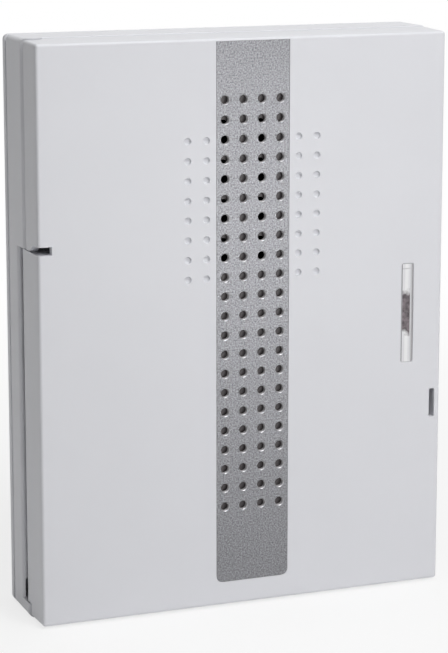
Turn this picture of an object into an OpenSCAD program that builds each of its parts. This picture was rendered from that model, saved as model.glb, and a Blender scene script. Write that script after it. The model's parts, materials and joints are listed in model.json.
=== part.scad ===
// Wall-mounted electronic door chime with a hinged front cover.
// Pieces are drawn lying on their backs: X to the right, Y up the wall, Z out of the wall.
// on_wall() then stands them up: +Z up, the front faces -Y, the wall is the plane Y = 0.

/* [Case] */
// Width of the front cover
case_w = 132; // [120:1:160]
// Height of the front cover
case_h = 176; // [170:1:210]
// Depth from the wall to the front face
case_d = 32; // [31.5:0.5:40]
// Depth of the cover's side walls behind the front face
cover_d = 15; // [14.5:0.1:15.2]
// Thickness of the side walls
wall = 2.2; // [1.8:0.1:2.4]
// Thickness of the cover's front plate
front_t = 2.4; // [2:0.1:3]
// Thickness of the base's floor
floor_t = 2.4; // [2:0.1:3]
// How far the base stands out past the cover on each side
shoulder = 0.7; // [0.4:0.1:0.9]
// How far the cover's walls spread from the front to the seam
draft = 0.3; // [0.1:0.1:0.4]
// Rounding of the cover's outer edges
edge_r = 1.2; // [0.8:0.1:1.6]
// Corner radius of the base
base_r = 1.6; // [1:0.1:2]
// Chamfer on the base's rims
rim_chamfer = 0.5; // [0.3:0.1:0.8]
// Gap between the cover and the base at the seam
seam_gap = 0.3; // [0.2:0.05:0.4]
// Thickness of the tongue inside the seam
tongue_t = 1.2; // [0.8:0.1:1.4]
// Height of the tongue above the base's rim
tongue_h = 2.5; // [1.5:0.1:3]
// Gap between the tongue and the cover's wall
tongue_gap = 0.35; // [0.2:0.05:0.5]
// Height of the rear flange below the shadow groove
rear_lip = 2.8; // [2:0.1:4]
// Width of the shadow groove
groove_w = 1.1; // [0.6:0.1:1.5]
// Depth of the shadow groove
groove_deep = 0.9; // [0.5:0.1:1.1]

/* [Grille strip] */
// Width of the strip
strip_w = 24; // [22:0.5:30]
// Thickness of the strip
strip_t = 0.8; // [0.5:0.1:1]
// Strip centre, to the right of the case's centre
strip_x = 1.9; // [-4:0.1:6]
// Strip's lower end above the case's lower edge
strip_end = 7.3; // [5:0.1:20]
// Radius of the strip's lower corners
strip_r = 2.4; // [1:0.1:4]
// Gap around the strip in its recess
strip_gap = 0.1; // [0.05:0.05:0.2]
// Hole diameter
hole_d = 2.5; // [2:0.1:3]
// Distance from hole to hole
hole_pitch = 6; // [5.5:0.1:6.2]
// Holes across the strip
hole_cols = 4; // [3:1:4]
// Holes down the strip
hole_rows = 22; // [16:1:22]
// First row of holes below the case's upper edge
hole_drop = 18.5; // [14:0.1:22]
// Width of the sound slots behind the strip
sound_w = 3.2; // [2:0.1:4]
// Length of the sound slots behind the strip
sound_h = 6.4; // [4:0.1:8]
// Diameter of the dimples beside the strip
dimple_d = 2.2; // [1.6:0.1:3]
// Depth of the dimples
dimple_deep = 0.5; // [0.3:0.05:0.7]
// Columns of dimples on each side
dimple_cols = 2; // [1:1:3]
// Rows of dimples
dimple_rows = 8; // [4:1:8]

/* [Window and release slot] */
// Width of the signal window
window_w = 4; // [3:0.1:5]
// Height of the signal window
window_h = 31.6; // [24:0.1:36]
// Window centre from the case's right edge
window_edge = 11.8; // [10:0.1:14]
// Window centre above the case's centre
window_y = 0; // [-10:0.5:10]
// Width of the release slot
slot_w = 1.8; // [1.2:0.1:2]
// Height of the release slot
slot_h = 9.1; // [6:0.1:10]
// Release slot centre from the case's right edge
slot_edge = 2.8; // [2.7:0.1:3.2]
// Release slot centre below the case's centre
slot_drop = 29.7; // [26:0.1:34]

/* [Hinge] */
// Notch centre below the case's upper edge
notch_drop = 60.9; // [50:0.1:70]
// Height of the notch
notch_h = 2.5; // [2:0.1:4]
// Reach of the notch into the front
notch_in = 4.3; // [3.5:0.1:6]
// Hinge axis behind the cover's left face
hinge_in = 2.6; // [2.5:0.1:2.8]
// Hinge axis behind the front face
hinge_depth = 15.4; // [15.3:0.1:15.6]
// Hinge pin diameter
pin_d = 1.6; // [1.2:0.1:1.8]
// Running gap around the pin in the base
pin_gap = 0.05; // [0.02:0.01:0.1]
// Length of pin held in the barrel
pin_hold = 10; // [6:0.5:14]
// Barrel diameter on the cover
barrel_d = 3; // [2.8:0.1:3.4]
// Height of the base's lower hinge corner
corner_h = 3.6; // [3.2:0.1:5]
// Length of the open gap between the barrel and the lower corner
pin_window = 6; // [4:0.5:10]
// Wall clearance swept around the hinge
swing_gap = 0.35; // [0.3:0.05:0.5]
// Front lip thickness left on the cover above the notch
lip_t = 0.9; // [0.7:0.1:1.1]

/* [Loudspeaker] */
// Diameter of the loudspeaker's flange
speaker_d = 57; // [50:1:58]
// Magnet diameter
magnet_d = 40; // [32:1:42]
// Magnet thickness
magnet_t = 6; // [4:0.5:7]
// Thickness of the plate behind the magnet
back_t = 2.5; // [2:0.1:3]
// Thickness of the plate in front of the magnet
top_t = 2; // [1.5:0.1:2.5]
// Diameter of the pole
pole_d = 13; // [11:0.5:16]
// Wall of the voice coil
coil_t = 0.4; // [0.3:0.1:0.6]
// Gap beside the voice coil
coil_gap = 0.3; // [0.2:0.05:0.4]
// Height of the basket
basket_h = 9; // [7:0.5:10]
// Sheet thickness of the basket
basket_t = 0.9; // [0.6:0.1:1.2]
// Cone travel each way
cone_travel = 0.8; // [0.4:0.1:1]
// Height of the seat under the loudspeaker
seat_h = 1; // [0.5:0.1:1.5]

/* [Circuit board] */
// Gap between the battery bay and the board
board_gap = 5.9; // [4:0.1:7]
// Height of the board
board_h = 62; // [57:1:64]
// Thickness of the board
board_t = 1.6; // [1:0.1:2]
// Height of the board above the floor
board_lift = 5.6; // [4:0.1:7]
// Board's right edge inside the case's right edge
board_edge = 8; // [7.5:0.1:9]
// Board's upper edge above the case's centre
board_top = 4; // [2:0.5:5]
// Board screws in from the board's edges
board_inset = 4; // [3.5:0.1:5]
// Poles of the terminal block
poles = 4; // [2:1:4]
// Width of one pole
pole_w = 7.5; // [6:0.1:8]
// Height of the terminal block above the board
terminal_h = 12; // [9:0.5:14]
// Terminal block depth
terminal_l = 10; // [8:0.5:12]
// Volume knob diameter
knob_d = 9; // [7:0.5:11]
// Volume shaft diameter
shaft_d = 3; // [2:0.1:4]
// Tune switch travel each way
tune_travel = 2; // [1:0.1:2.5]

/* [Battery] */
// Cell diameter
cell_d = 14.2; // [13.5:0.1:14.5]
// Cell length
cell_l = 50.5; // [49:0.1:50.5]
// Number of cells
cells = 3; // [2:1:3]
// Distance from cell to cell
cell_pitch = 15.2; // [15:0.1:16]
// Room for the contacts at each end of a cell
contact_room = 2.6; // [2.2:0.1:3]
// Height of the battery bay's walls
bay_h = 9.6; // [7:0.1:10]
// Bay wall thickness
bay_t = 1.6; // [1.2:0.1:2]
// Bay's lower wall above the case's lower edge
bay_y = 26.8; // [26:0.1:30]

/* [Wall fixing] */
// Screw hole diameter
fix_d = 4.6; // [4:0.1:5.5]
// Distance between the holes, across
fix_x = 104; // [96:1:108]
// Distance between the holes, up and down
fix_y = 152; // [146:1:156]
// Cable entry diameter
cable_d = 12; // [8:0.5:14]
// Cable entry centre to the right of the case's centre
cable_x = 28; // [20:1:36]
// Cable entry centre above the case's lower edge
cable_y = 15; // [12:0.5:17]

/* [Hidden] */
$fn = 64;
hull_fn = 32;
eps = 0.01;
far = 400;
sides = [-1, 1];

half_w = case_w / 2;
half_h = case_h / 2;
base_hw = half_w + shoulder;
base_hh = half_h + shoulder;
seam_z = case_d - cover_d;
rim_z = seam_z - seam_gap;
plate_z = case_d - front_t;

// Hinge: the axis runs up the left side, all radii are about it
hinge_x = hinge_in - half_w;
hinge_z = case_d - hinge_depth;
open_clear = 0.6;
lip_v = hinge_in + shoulder + open_clear;
sweep_r = sqrt(pow(hinge_in - lip_t, 2) + pow(lip_v, 2));
nose_r = sweep_r - swing_gap;
nose_in = 1.6;
gap_z = hinge_z - hinge_in - draft - open_clear;
notch_y = half_h - notch_drop;
notch_lo = notch_y - notch_h / 2;
notch_hi = notch_y + notch_h / 2;
nose_lo = notch_hi + swing_gap;
corner_y = corner_h - half_h;
barrel_lo = corner_y + pin_window;
pin_reach = 6;
pin_end = 0.5;
press_gap = 0.01;
corner_skin = 1;
corner_pin = corner_h + shoulder - corner_skin;
web_h = 1;
skin_t = 0.8;
skin_drop = 1.5;
pocket_z = 8;

// Strip, holes and dimples
strip_lo = strip_end - half_h;
hole_y = half_h - hole_drop;
sound_cols = [0, 2];
sound_rows = [2, 4, 6, 8];
sound_up = 1.1;
dimple_first = 2;
dimple_ball = (pow(dimple_d / 2, 2) + pow(dimple_deep, 2)) / (2 * dimple_deep);

// Window, light guide and lamp
window_x = half_w - window_edge;
guide_gap = 0.1;
guide_sink = 0.1;
guide_rim = 1.4;
guide_rim_t = 1.2;
stem_w = 3;
stem_h = 8;
lamp_r = 2.5;
lamp_h = 8;
lamp_gap = 0.6;
lamp_rim = 0.4;
lamp_rim_h = 1;
lamp_drop = 12;
lamp_y = board_top - lamp_drop;

// Release slot and latch
slot_x = half_w - slot_edge;
slot_y = -slot_drop;
latch_t = 1.6;
latch_gap = 0.3;
ledge_in = 0.6;
ledge_clear = 0.6;
nose_out = 0.5;
ledge_t = 2;
ledge_up = 1.6;
ledge_z = seam_z + ledge_up;
latch_x = half_w - wall - ledge_in - ledge_clear - nose_out;
pivot_h = 3.6;
latch_pivot_z = floor_t + pivot_h;
tip_gap = 2.4;
latch_tip = plate_z - tip_gap;
latch_nose_h = 2.4;
lug_t = 2.6;
lug_r = 2;
lug_room = 4;
stub_r = 0.7;
stub_end = 0.2;

// Battery bay and its contacts
hinge_room = 1.6;
bay_x0 = bay_t + hinge_in + hinge_room - half_w;
bay_x1 = bay_x0 + cell_l + 2 * contact_room;
bay_y0 = bay_y + bay_t - half_h;
bay_y1 = bay_y0 + cells * cell_pitch;
cell_lift = 0.2;
cell_z = floor_t + cell_lift + cell_d / 2;
nub_r = 2.7;
nub_l = 1;
nub_edge = 0.3;
cell_edge = 0.4;
cell_rim = 0.8;
cell_dish = 0.3;
rib_h = 2.2;
rib_t = 0.8;
plate_t = 0.4;
plate_w = 10;
plate_up = 5;
plate_top = cell_z + plate_up;
link_h = 2;
contact_gap = 0.1;
button_r = 2.4;
leaf_w = 6;
leaf_half = 3.6;
leaf_foot = 0.6;
leaf_tip = 0.6;

// Board and what stands on it, in rows with equal gaps
board_z = floor_t + board_lift;
board_face = board_z + board_t;
board_x1 = half_w - board_edge;
board_x0 = bay_x1 + bay_t + board_gap;
board_w = board_x1 - board_x0;
board_y1 = board_top;
board_y0 = board_top - board_h;
board_xs = [board_x0 + board_inset, board_x1 - board_inset];
board_ys = [board_y0 + board_inset, board_y1 - board_inset];
post_r = 3;
post_floor = 1.5;
screw_r = 1.25;
screw_play = 0.05;
screw_hole = 1.6;
head_r = 2.75;
head_h = 1.8;
head_edge = 1.1;
head_top_r = 1.9;
drive_w = 0.8;
drive_l = 3;
drive_deep = 1;
board_screw_l = board_t + board_lift - post_floor - pin_end;
speaker_screw_l = 8;
terminal_w = poles * pole_w;
terminal_x = (board_x0 + board_x1) / 2;
terminal_y = board_y0 + 2 * board_inset + terminal_l / 2;
well_r = 2.2;
well_deep = 5;
wire_r = 1.8;
wire_z = 3.4;
clamp_h = 2.4;
chip_l = 19;
chip_w = 6.4;
chip_t = 3.4;
chip_pins = 8;
chip_pitch = 2.4;
chip_lift = 0.6;
chip_notch_r = 1.1;
chip_notch_deep = 0.4;
leg_t = 0.4;
leg_out = 0.9;
leg_wide = 1.2;
leg_narrow = 0.6;
can_r = 5;
can_h = 11.5;
can_bead = 0.4;
can_bead_z = 2;
can_edge = 0.6;
can_dish = 0.3;
bridge_w = 8.4;
bridge_l = 6.4;
bridge_h = 3;
bridge_cut = 0.8;
resistors_n = 3;
resistor_pitch = 4;
resistor_r = 1.1;
resistor_l = 6;
resistor_reach = 4.6;
pot_w = 10;
pot_h = 5;
pot_floor = 1;
knob_h = 6;
knob_lift = 0.3;
knob_ribs = 18;
rib_cut_r = 0.6;
rib_cut_out = 0.25;
knob_foot = 1;
pointer_deep = 1;
pointer_end = 1.8;
tune_w = 14;
tune_l = 7;
tune_h = 5;
tune_floor = 1;
slider_w = 3;
slider_h = 4;
slider_gap = 0.3;

// Rows on the board: trimmer and switch, chip and resistors, capacitors and rectifier, terminals
rows_h = pot_w + 2 * resistor_reach + 2 * can_r + terminal_l;
row_gap = (board_h - 4 * board_inset - rows_h) / 3;
top_row = board_y1 - 2 * board_inset - pot_w / 2;
mid_row = top_row - pot_w / 2 - row_gap - resistor_reach;
low_row = mid_row - resistor_reach - row_gap - can_r;
top_gap = (window_x - lamp_r - lamp_rim - board_x0 - pot_w - tune_w) / 3;
pot_x = board_x0 + top_gap + pot_w / 2;
tune_x = pot_x + pot_w / 2 + top_gap + tune_w / 2;
resistors_w = (resistors_n - 1) * resistor_pitch + 2 * resistor_r;
mid_gap = (board_w - chip_l - resistors_w) / 3;
chip_x = board_x0 + mid_gap + chip_l / 2;
resistor_x = board_x1 - mid_gap - resistors_w + resistor_r;
low_gap = (board_w - 4 * can_r - bridge_w) / 4;
can_x = board_x0 + low_gap + can_r;
can_xs = [can_x, can_x + low_gap + 2 * can_r];
bridge_x = board_x1 - low_gap - bridge_w / 2;

// Loudspeaker, from the floor outwards
speaker_x = strip_x;
speaker_y = hole_y - (dimple_first + (dimple_rows - 1) / 2) * hole_pitch;
back_z = floor_t + seat_h;
magnet_z = back_z + back_t;
top_z = magnet_z + magnet_t;
basket_z = top_z + top_t;
flange_z = basket_z + basket_h;
flange_face = flange_z + basket_t;
coil_r = pole_d / 2 + coil_gap + coil_t;
plate_in = 2;
plate_r = magnet_d / 2 - plate_in;
magnet_in = coil_r + plate_in;
coil_drop = 2;
coil_rise = 1;
flange_w = 2.5;
basket_r = speaker_d / 2 - flange_w;
bowl_z = basket_z + basket_h / 2;
frame_clear = 1;
frame_in = coil_r + frame_clear;
vent_w = 12;
vent_step = 1;
vent_in = plate_r + vent_step;
vent_h = basket_h - 3 * basket_t;
cone_edge = 5.1;
cone_r = speaker_d / 2 - cone_edge;
cone_clear = 0.4;
cone_z = basket_z + basket_t + cone_travel + cone_clear;
cone_t = 0.6;
cone_sink = 0.3;
cone_top = flange_z - cone_sink;
cap_r = 9;
cap_ball = 12;
cap_t = 0.5;
roll_r = 1.9;
roll_in = 1.4;
roll_edge = 2.9;
roll_x = speaker_d / 2 - roll_edge;
ear_r = 3.5;
ear_step = 2.6;
ear_out = speaker_d / 2 + ear_step;
ear_turns = [90, 210, 330];
window_turns = [45, 135, 225, 315];
tag_half = 2;
tag_xs = tag_half * sides;
tag_l = 4;
tag_w = 2;
tag_lap = 0.5;

// Leads
lead_r = 0.6;
bend_swell = 0.04;
lead_skim = 0.1;
lead_gap = 0.4;
lead_drop = 3;
lead_rise = 4;
pad_in = 2;
pads_in = 13;
pads_x = board_x0 + pads_in;
pads_y = board_y1 - pad_in - lead_r;
lead_pad_x = board_x0 + pad_in;
lead_pad_y = terminal_y;

// Shared shapes

module on_wall() {
    rotate([90, 0, 0]) children();
}

// A box given by its two opposite corners
module block(low, high) {
    translate(low) cube(high - low);
}

// A cylinder that runs up the wall, along Y, from y0 to y1
module upright(x, z, r, y0, y1) {
    translate([x, y0, z]) rotate([-90, 0, 0]) cylinder(r = r, h = y1 - y0);
}

module rounded_rect(w, h, r) {
    square([w - 2 * r, h], center = true);
    square([w, h - 2 * r], center = true);
    for (sx = sides, sy = sides) {
        translate([sx * (w / 2 - r), sy * (h / 2 - r)]) circle(r);
    }
}

// A straight wire from a to b
module rod(a, b, r) {
    d = b - a;
    translate(a) rotate([0, acos(d[2] / norm(d)), atan2(d[1], d[0])]) cylinder(r = r, h = norm(d));
}

// A wire along a list of points, with rounded bends
module lead(points, r) {
    for (i = [0 : len(points) - 2]) {
        rod(points[i], points[i + 1], r);
    }
    for (i = [1 : len(points) - 2]) {
        translate(points[i]) sphere(r + bend_swell);
    }
}

// A pan-head screw with its head seated at z = 0 and a cross recess
module pan_screw(shank_l) {
    difference() {
        union() {
            translate([0, 0, -shank_l]) cylinder(r = screw_r, h = shank_l + eps);
            cylinder(r = head_r, h = head_edge);
            translate([0, 0, head_edge]) cylinder(r1 = head_r, r2 = head_top_r, h = head_h - head_edge);
        }
        for (turn = [0, 90]) {
            rotate(turn) translate([-drive_l / 2, -drive_w / 2, head_h - drive_deep])
                cube([drive_l, drive_w, far]);
        }
    }
}

// Every strip hole position, from column c0 to c1 and row r0 to r1
module at_holes(c0, c1, r0, r1) {
    for (c = [c0 : c1], r = [r0 : r1]) {
        hole_x = strip_x + (c - (hole_cols - 1) / 2) * hole_pitch;
        translate([hole_x, hole_y - r * hole_pitch]) children();
    }
}

module at_speaker_ears() {
    for (turn = ear_turns) {
        translate([speaker_x + ear_out * cos(turn), speaker_y + ear_out * sin(turn)]) children();
    }
}

module at_board_screws() {
    for (x = board_xs, y = board_ys) {
        translate([x, y]) children();
    }
}

// Case pieces

// Outer form of the cover: round front edges, walls that spread towards the seam
module cover_form() {
    hull() {
        for (sx = sides, sy = sides) {
            translate([sx * (half_w - edge_r), sy * (half_h - edge_r), case_d - edge_r])
                sphere(edge_r, $fn = hull_fn);
            translate([sx * (half_w + draft - edge_r), sy * (half_h + draft - edge_r), seam_z])
                cylinder(r = edge_r, h = eps, $fn = hull_fn);
        }
    }
}

// Room that the base's hinge noses take out of the cover, from y0 to y1
module nose_room(y0, y1) {
    upright(hinge_x, hinge_z, sweep_r, y0, y1);
    block([-far, y0, -far], [hinge_x, y1, hinge_z + lip_v]);
}

// Recess or strip outline: square at the top, round at the lower corners
module strip_outline(w, lo) {
    h = far - lo;
    translate([strip_x, lo + h / 2]) rounded_rect(w, h, strip_r);
}

module front_cover() {
    color("whitesmoke") on_wall() {
        difference() {
            union() {
                difference() {
                    cover_form();
                    block([wall - half_w, wall - half_h, -far], [half_w - wall, half_h - wall, plate_z]);
                }
                upright(hinge_x, hinge_z, barrel_d / 2, barrel_lo, notch_lo);
                block([hinge_x - eps, barrel_lo, hinge_z],
                      [hinge_x + barrel_d / 2, notch_lo, seam_z + web_h]);
                block([wall - half_w - eps, barrel_lo, seam_z],
                      [hinge_x + barrel_d / 2, notch_lo, seam_z + web_h]);
                block([half_w - wall - ledge_in, slot_y - slot_h / 2, ledge_z],
                      [half_w - wall + eps, slot_y + slot_h / 2, ledge_z + ledge_t]);
            }
            nose_room(notch_lo, far);
            nose_room(-far, corner_y + swing_gap);
            block([-far, notch_lo, -far], [notch_in - half_w, notch_hi, far]);
            upright(hinge_x, hinge_z, pin_d / 2 + press_gap, -half_h, barrel_lo + pin_hold);
            upright(hinge_x, hinge_z, pin_d / 2 + press_gap, notch_lo - pin_hold, notch_hi);
            translate([0, 0, case_d - strip_t]) linear_extrude(far) strip_outline(strip_w, strip_lo);
            for (c = sound_cols, r = sound_rows) {
                at_holes(c, c, r, r) translate([-sound_w / 2, sound_up - sound_h / 2, plate_z - eps])
                    cube([sound_w, sound_h, front_t]);
            }
            for (c = [-dimple_cols, hole_cols]) {
                at_holes(c, c + dimple_cols - 1, dimple_first, dimple_first + dimple_rows - 1)
                    translate([0, 0, case_d + dimple_ball - dimple_deep]) sphere(dimple_ball);
            }
            block([window_x - window_w / 2, window_y - window_h / 2, plate_z - eps],
                  [window_x + window_w / 2, window_y + window_h / 2, far]);
            block([slot_x - slot_w / 2, slot_y - slot_h / 2, plate_z - eps],
                  [slot_x + slot_w / 2, slot_y + slot_h / 2, far]);
        }
    }
}

module grille_strip() {
    color("silver") on_wall() {
        difference() {
            intersection() {
                cover_form();
                translate([0, 0, case_d - strip_t]) linear_extrude(far)
                    strip_outline(strip_w - 2 * strip_gap, strip_lo + strip_gap);
            }
            at_holes(0, hole_cols - 1, 0, hole_rows - 1) translate([0, 0, case_d - strip_t - eps])
                cylinder(d = hole_d, h = far);
        }
    }
}

module light_guide() {
    guide_w = window_w - 2 * guide_gap;
    guide_h = window_h - 2 * guide_gap;
    rim_w = window_w + 2 * guide_rim;
    rim_h = window_h + 2 * guide_rim;
    rim_back = plate_z - guide_rim_t;
    color("lightgray", 0.5) on_wall() {
        translate([window_x, window_y, 0]) {
            block([-guide_w / 2, -guide_h / 2, plate_z - eps],
                  [guide_w / 2, guide_h / 2, case_d - guide_sink]);
            block([-rim_w / 2, -rim_h / 2, rim_back], [rim_w / 2, rim_h / 2, plate_z]);
        }
        block([window_x - stem_w / 2, lamp_y - stem_h / 2, board_face + lamp_h + lamp_gap],
              [window_x + stem_w / 2, lamp_y + stem_h / 2, rim_back + eps]);
    }
}

module hinge_pins() {
    color("dimgray") on_wall() {
        upright(hinge_x, hinge_z, pin_d / 2, notch_lo - pin_hold, nose_lo + pin_reach);
        upright(hinge_x, hinge_z, pin_d / 2, corner_y - corner_pin, barrel_lo + pin_hold);
    }
}

// Round hinge nose of the base from y0 to y1, kept inside the base's outer face
module hinge_nose(y0, y1, reach) {
    intersection() {
        upright(hinge_x, hinge_z, nose_r, y0, y1);
        block([-base_hw, y0, -far], [hinge_x + reach, y1, far]);
    }
}

// The base's wall is thick enough here to carry a nose
module nose_foot(y0, y1) {
    block([-base_hw, y0, rim_chamfer], [wall - base_hw + eps, y1, hinge_z]);
}

module base_form() {
    hull() {
        for (sx = sides, sy = sides) {
            translate([sx * (base_hw - base_r), sy * (base_hh - base_r), 0]) {
                translate([0, 0, rim_chamfer])
                    cylinder(r = base_r, h = rim_z - 2 * rim_chamfer, $fn = hull_fn);
                cylinder(r = base_r - rim_chamfer, h = rim_z, $fn = hull_fn);
            }
        }
    }
}

// Tongue along one side of the seam, from a to b, drawn for the upper side at height h
module tongue(a, b, h) {
    outer = h - wall - tongue_gap;
    block([a, outer - tongue_t, rim_z - tongue_h], [b, h + shoulder - wall + eps, rim_z]);
    block([a, outer - tongue_t, rim_z - eps], [b, outer, rim_z + tongue_h]);
}

module rear_base() {
    tongue_x0 = hinge_x + sweep_r + swing_gap;
    tongue_x1 = half_w - wall - tongue_gap;
    latch_room = slot_h / 2 + lug_t + lug_room;
    color("whitesmoke") on_wall() {
        difference() {
            union() {
                difference() {
                    base_form();
                    block([wall - base_hw, wall - base_hh, floor_t], [base_hw - wall, base_hh - wall, far]);
                    translate([0, 0, rear_lip]) linear_extrude(groove_w) difference() {
                        square(2 * [base_hw + 1, base_hh + 1], center = true);
                        square(2 * [base_hw - groove_deep, base_hh - groove_deep], center = true);
                    }
                    block([-far, corner_y, gap_z - wall / 2], [hinge_x + sweep_r, nose_lo, far]);
                    block([skin_t - base_hw, corner_y, pocket_z], [hinge_x, barrel_lo, far]);
                    block([-far, corner_y, gap_z - skin_drop], [hinge_x, barrel_lo, far]);
                }
                upright(wall / 2 - base_hw, gap_z - wall / 2, wall / 2, barrel_lo, nose_lo);
                nose_foot(nose_lo, base_hh - base_r);
                nose_foot(base_r - base_hh, corner_y);
                hinge_nose(nose_lo, base_hh - eps, nose_in);
                hinge_nose(half_h - wall - swing_gap, base_hh - eps, far);
                hinge_nose(eps - base_hh, corner_y, far);
                tongue(tongue_x0, tongue_x1, half_h);
                mirror([0, 1, 0]) tongue(tongue_x0, tongue_x1, half_h);
                rotate(-90) {
                    tongue(-half_h + wall + tongue_gap, slot_drop - latch_room, half_w);
                    tongue(slot_drop + latch_room, half_h - wall - tongue_gap, half_w);
                }
                base_posts();
                battery_bay();
                latch_lugs();
            }
            upright(hinge_x, hinge_z, pin_d / 2 + pin_gap, nose_lo - eps, nose_lo + pin_reach + pin_end);
            upright(hinge_x, hinge_z, pin_d / 2 + pin_gap, corner_y - corner_pin - pin_end, corner_y + eps);
            for (sx = sides, sy = sides) {
                translate([sx * fix_x / 2, sy * fix_y / 2, -eps]) cylinder(d = fix_d, h = floor_t + 2 * eps);
            }
            translate([cable_x, cable_y - half_h, -eps]) cylinder(d = cable_d, h = floor_t + 2 * eps);
        }
    }
}

// Posts and pads that carry the board and the loudspeaker
module base_posts() {
    at_board_screws() translate([0, 0, floor_t - eps]) difference() {
        cylinder(r = post_r, h = board_lift + eps);
        translate([0, 0, post_floor]) cylinder(r = screw_r + screw_play, h = far);
    }
    at_speaker_ears() translate([0, 0, floor_t - eps]) difference() {
        cylinder(r = post_r, h = flange_z - floor_t + eps);
        translate([0, 0, post_floor]) cylinder(r = screw_r + screw_play, h = far);
    }
    translate([speaker_x, speaker_y, floor_t - eps]) cylinder(d = magnet_d / 2, h = seat_h + eps);
}

module battery_bay() {
    low = [bay_x0 - bay_t, bay_y0 - bay_t, floor_t - eps];
    high = [bay_x1 + bay_t, bay_y1 + bay_t, floor_t + bay_h];
    difference() {
        block(low, high);
        block([bay_x0, bay_y0, 0], [bay_x1, bay_y1, far]);
    }
    for (i = [1 : cells - 1]) {
        y = bay_y0 + i * cell_pitch;
        block([bay_x0 + contact_room, y - rib_t / 2, floor_t - eps],
              [bay_x1 - contact_room, y + rib_t / 2, floor_t + rib_h]);
    }
}

module latch_lugs() {
    lug_x = latch_x - latch_t / 2;
    for (s = sides) {
        y = slot_y + s * (slot_h / 2 + latch_gap + lug_t / 2);
        difference() {
            union() {
                block([lug_x - lug_r, y - lug_t / 2, floor_t - eps],
                      [lug_x + lug_r, y + lug_t / 2, latch_pivot_z]);
                upright(lug_x, latch_pivot_z, lug_r, y - lug_t / 2, y + lug_t / 2);
            }
            upright(lug_x, latch_pivot_z, stub_r + pin_gap, y - lug_t, y + lug_t);
        }
    }
}

module latch_lever() {
    x1 = latch_x;
    x0 = x1 - latch_t;
    y0 = slot_y - slot_h / 2;
    y1 = slot_y + slot_h / 2;
    stub_l = latch_gap + lug_t - stub_end;
    nose_z = ledge_z + ledge_t + latch_gap;
    color("gainsboro") on_wall() {
        translate([0, y1, 0]) rotate([90, 0, 0]) linear_extrude(y1 - y0) polygon([
            [x0, latch_pivot_z], [x1, latch_pivot_z], [x1, nose_z], [x1 + nose_out, nose_z],
            [x1 + nose_out, nose_z + latch_nose_h / 4], [x1, nose_z + latch_nose_h],
            [x1, latch_tip - latch_t], [x0 + latch_t / 4, latch_tip], [x0, latch_tip]
        ]);
        upright((x0 + x1) / 2, latch_pivot_z, latch_t / 2, y0, y1);
        upright((x0 + x1) / 2, latch_pivot_z, stub_r, y0 - stub_l, y1 + stub_l);
    }
}

// Board and its parts

module circuit_board() {
    color("darkgreen") on_wall() difference() {
        block([board_x0, board_y0, board_z], [board_x1, board_y1, board_face]);
        at_board_screws() cylinder(r = screw_hole, h = far, center = true);
    }
}

module board_screws() {
    color("silver") on_wall() {
        at_board_screws() translate([0, 0, board_face])
            pan_screw(board_screw_l);
    }
}

module at_poles() {
    for (i = [0 : poles - 1]) {
        translate([terminal_x + (i - (poles - 1) / 2) * pole_w, terminal_y, board_face]) children();
    }
}

module terminal_block() {
    color("dimgray") on_wall() difference() {
        block([terminal_x - terminal_w / 2, terminal_y - terminal_l / 2, board_face],
              [terminal_x + terminal_w / 2, terminal_y + terminal_l / 2, board_face + terminal_h]);
        at_poles() {
            translate([0, 0, terminal_h - well_deep]) cylinder(r = well_r, h = far);
            translate([0, 0, wire_z]) rotate([90, 0, 0]) cylinder(r = wire_r, h = far);
        }
    }
}

module terminal_screws() {
    color("silver") on_wall() {
        at_poles() translate([0, 0, terminal_h - well_deep]) difference() {
            cylinder(r = well_r - screw_play, h = clamp_h);
            translate([-well_r, -drive_w / 2, clamp_h - drive_w]) cube([2 * well_r, drive_w, far]);
        }
    }
}

module sound_chip() {
    color("black") on_wall() translate([chip_x, mid_row, board_face + chip_lift]) difference() {
        block([-chip_l / 2, -chip_w / 2, 0], [chip_l / 2, chip_w / 2, chip_t]);
        translate([-chip_l / 2, 0, chip_t - chip_notch_deep]) cylinder(r = chip_notch_r, h = far);
    }
}

module chip_legs() {
    leg_top = chip_lift + chip_t / 2;
    color("silver") on_wall() translate([chip_x, mid_row, board_face]) {
        for (i = [0 : chip_pins - 1], s = sides) {
            leg_x = (i - (chip_pins - 1) / 2) * chip_pitch;
            mirror([0, s < 0 ? 1 : 0, 0]) translate([leg_x, chip_w / 2, 0]) {
                block([-leg_wide / 2, 0, leg_top - leg_t], [leg_wide / 2, leg_out, leg_top]);
                block([-leg_narrow / 2, leg_out - leg_t, 0], [leg_narrow / 2, leg_out, leg_top - eps]);
            }
        }
    }
}

module capacitors() {
    lid_r = can_r - 2 * can_edge;
    color("midnightblue") on_wall() {
        for (x = can_xs) {
            translate([x, low_row, board_face]) rotate_extrude() polygon([
                [0, 0], [can_r, 0], [can_r, can_bead_z - can_bead], [can_r - can_bead, can_bead_z],
                [can_r, can_bead_z + can_bead], [can_r, can_h - can_edge], [can_r - can_edge, can_h],
                [lid_r, can_h], [lid_r, can_h - can_dish], [0, can_h - can_dish]
            ]);
        }
    }
}

module rectifier() {
    w = bridge_w / 2;
    l = bridge_l / 2;
    color("black") on_wall() translate([bridge_x, low_row, board_face]) linear_extrude(bridge_h) polygon([
        [-w, -l], [w, -l], [w, l], [bridge_cut - w, l], [-w, l - bridge_cut]
    ]);
}

module resistors() {
    color("tan") on_wall() {
        for (i = [0 : resistors_n - 1]) {
            translate([resistor_x + i * resistor_pitch, mid_row, board_face]) {
                upright(0, resistor_r, resistor_r, -resistor_l / 2, resistor_l / 2);
                upright(0, resistor_r, leg_t / 2, -resistor_reach, resistor_reach);
                for (s = sides) {
                    translate([0, s * (resistor_reach - leg_t / 2), 0]) cylinder(d = leg_t, h = resistor_r);
                }
            }
        }
    }
}

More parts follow.
